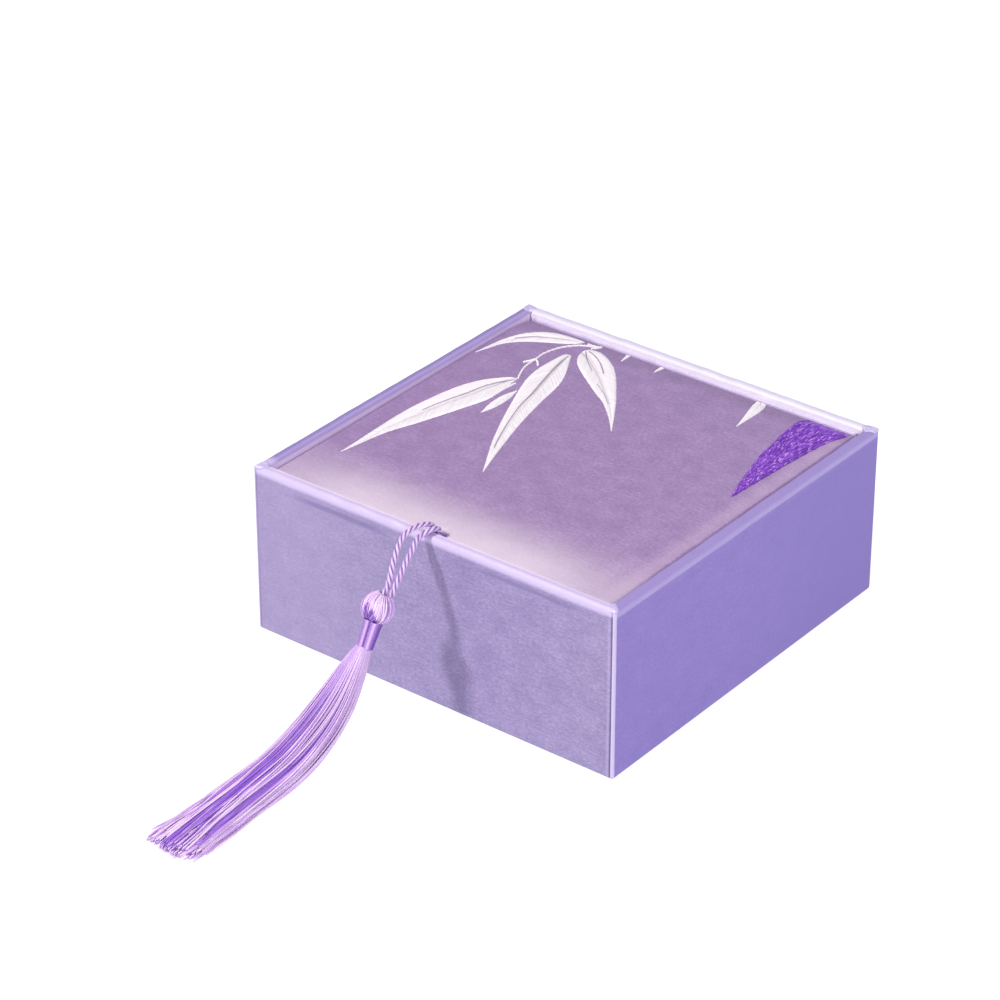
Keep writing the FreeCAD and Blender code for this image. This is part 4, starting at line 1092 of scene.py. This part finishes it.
def fringe():
    """Threads from the neck down to the ground, in loose bundles; the ones in the middle are of the deeper dye, and the
    paler outer ones are partly a painted highlight.
    """
    rand = np.random.default_rng(29)
    top = np.array([[*(NECK_END - 2.2 * NECK_W), 1.25, 1.25], [*(NECK_END - 0.9 * NECK_W), 1.4, 1.4]])
    line = even(through(np.concatenate([top, SKIRT]), 400), 240)
    mid, wide, tall = line[:, :3], line[:, 3], line[:, 4]
    d = unit(np.gradient(mid, axis=0))
    across = unit(np.cross(np.array([0, 0, 1.0]), d))
    up = np.cross(d, across)
    n, m, clumps = 520, 40, 24
    ca, cr = rand.uniform(0, 2 * math.pi, clumps), np.sqrt(rand.uniform(0.05, 1, clumps))
    goal = np.stack([cr * np.cos(ca), cr * np.sin(ca)], -1)
    rho, psi = np.sqrt((np.arange(n) + 0.5) / n) * 0.9, np.arange(n) * 2.399963
    base = np.stack([rho * np.cos(psi), rho * np.sin(psi)], -1)
    near = np.argmin(((base[:, None] - goal[None]) ** 2).sum(-1), axis=1)
    own = np.where(rand.random(n) < 0.8, near, rand.integers(0, clumps, n))
    longer = rand.normal(0, 0.026, clumps)
    sets = {True: [], False: []}
    for i in range(n):
        stop = 1 - 0.012 * (1 + base[i, 0]) + longer[own[i]] - abs(rand.normal(0, 0.012)) - 0.05 * (rand.random() < 0.1)
        f = np.linspace(0, min(stop, 1.0), m) ** 0.92
        k = f * (len(mid) - 1)
        pick = lambda a: np.stack([np.interp(k, np.arange(len(mid)), a[:, j]) for j in range(a.shape[1])], 1)
        c, ac, u = pick(mid), pick(across), pick(up)
        w, h = np.interp(k, np.arange(len(mid)), wide), np.interp(k, np.arange(len(mid)), tall)
        pull = 0.34 * step(f, 0.10, 0.55) + 0.26 * step(f, 0.68, 1.0)
        pos = base[i][None] * (1 - pull)[:, None] + goal[own[i]][None] * 0.98 * pull[:, None]
        drift = np.stack([np.sin(f * rand.uniform(4, 9) + rand.uniform(0, 6.28)), np.sin(f * rand.uniform(4, 9) + rand.uniform(0, 6.28))], -1)
        pos = pos + drift * (0.012 + 0.06 * step(f, 0.15, 1.0))[:, None]
        stray = rand.normal(0, 0.06, 2) * (1 + 4.2 * (rand.random() < 0.13))
        pos = pos + stray[None] * (step(f, 0.5, 1.0) ** 1.5)[:, None]
        p = c + ac * (pos[:, :1] * w[:, None]) + u * (pos[:, 1:] * h[:, None])
        p[:, 2] = np.where(p[:, 2] < 0.75, 0.30 + 0.45 * np.exp((p[:, 2] - 0.75) / 0.45), p[:, 2])
        x = base[i, 0] * 0.64 + goal[own[i], 0] * 0.36
        deep = rand.random() < (0.05 + 0.5 * math.exp(-((x + 0.05) / 0.34) ** 2)) * (base[i, 1] > -0.25)
        sets[deep].append(p)
    made = []
    for deep in (False, True):
        paths = np.array(sets[deep])
        r = np.broadcast_to(rand.uniform(0.17, 0.23, (len(paths), 1)), paths.shape[:2]).copy()
        r[:, -1] *= 0.75
        made.append(tubes(paths, r, sides=5))
    # the inner layer, thread beside thread
    count, inner, thick = 46, [], []
    for i in range(count):
        f = np.linspace(0, rand.uniform(0.86, 0.95), m)
        k = f * (len(mid) - 1)
        pick = lambda a: np.stack([np.interp(k, np.arange(len(mid)), a[:, j]) for j in range(a.shape[1])], 1)
        w, h = np.interp(k, np.arange(len(mid)), wide), np.interp(k, np.arange(len(mid)), tall)
        t = 2 * math.pi * i / count + 0.05 * np.sin(f * 9 + rand.uniform(0, 6.28))
        p = pick(mid) + pick(across) * (0.68 * np.cos(t) * w)[:, None] + pick(up) * (0.68 * np.sin(t) * h)[:, None]
        p[:, 2] = np.where(p[:, 2] < 0.9, 0.45 + 0.45 * np.exp((p[:, 2] - 0.9) / 0.45), p[:, 2])
        inner.append(p)
        thick.append(0.10 + 0.068 * np.hypot(w, h) * 0.68)
    made.append(tubes(np.array(inner), np.array(thick), sides=6))
    return made


pale, deep, inner = fringe()
skirt = piece("tassel_fringe", pale, tassel_silk, "tassel", ("tassel_skirt",))
piece("tassel_fringe_deep", deep, deep_silk, "tassel", ())
piece("tassel_fringe_inner", inner, inner_silk, "tassel", ())

# ---- carried-over boards -----------------------------------------------------
for name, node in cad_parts.items():
    if node.hide_render:
        continue
    look = {"bottom_cover": paper, "cord_anchor": padding, "tassel_bead_core": wood}.get(name, greyboard)
    node.data.materials.clear()
    node.data.materials.append(look)

# ---- the cords with their exits and ends: a loop that changes nothing --------
for (ob, line), exit_at, ends in zip(cords, ((-1.15, -45.85, 40.6), (0.35, -45.85, 40.6)), ([bead], [neck])):
    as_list(ends)


# ---- stage and light ----------------------------------------------------------
def stage():
    me = bpy.data.meshes.new("floor")
    s = 3.0
    me.from_pydata([(-s, -s, 0), (s, -s, 0), (s, s, 0), (-s, s, 0)], [], [(0, 1, 2, 3)])
    k = Look("floor_paper", Roughness=0.9, Specular_IOR_Level=0.1, Emission_Strength=0.84)
    k.b.inputs["Base Color"].default_value = (0.3, 0.3, 0.3, 1)
    k.b.inputs["Emission Color"].default_value = (1, 1, 1, 1)
    me.materials.append(k.m)
    floor = bpy.data.objects.new("floor", me)
    scene.collection.objects.link(floor)

    world = bpy.data.worlds.new("studio")
    scene.world = world
    world.use_nodes = True
    bg = world.node_tree.nodes["Background"]
    bg.inputs["Color"].default_value = (0.98, 0.98, 1.0, 1)
    bg.inputs["Strength"].default_value = 0.42

    def lamp(name, towards, far, size, power, aim=(0.0, -0.04, 0.02), colour=(1, 1, 1)):
        light = bpy.data.lights.new(name, "AREA")
        light.shape, light.size, light.energy, light.color = "DISK", size, power, colour
        ob = bpy.data.objects.new(name, light)
        d = Vector(towards).normalized()
        ob.location = Vector(aim) + d * far
        ob.rotation_mode = "QUATERNION"
        ob.rotation_quaternion = (-d).to_track_quat("-Z", "Y")
        scene.collection.objects.link(ob)

    lamp("key", (-0.48, -1.0, 1.24), 1.3, 0.14, 12.6, colour=(1, 0.97, 0.88))
    lamp("fill", (1.0, -0.25, 0.75), 1.4, 1.0, 8.6)
    scene.view_settings.view_transform = "Standard"
    scene.view_settings.look = "None"


stage()
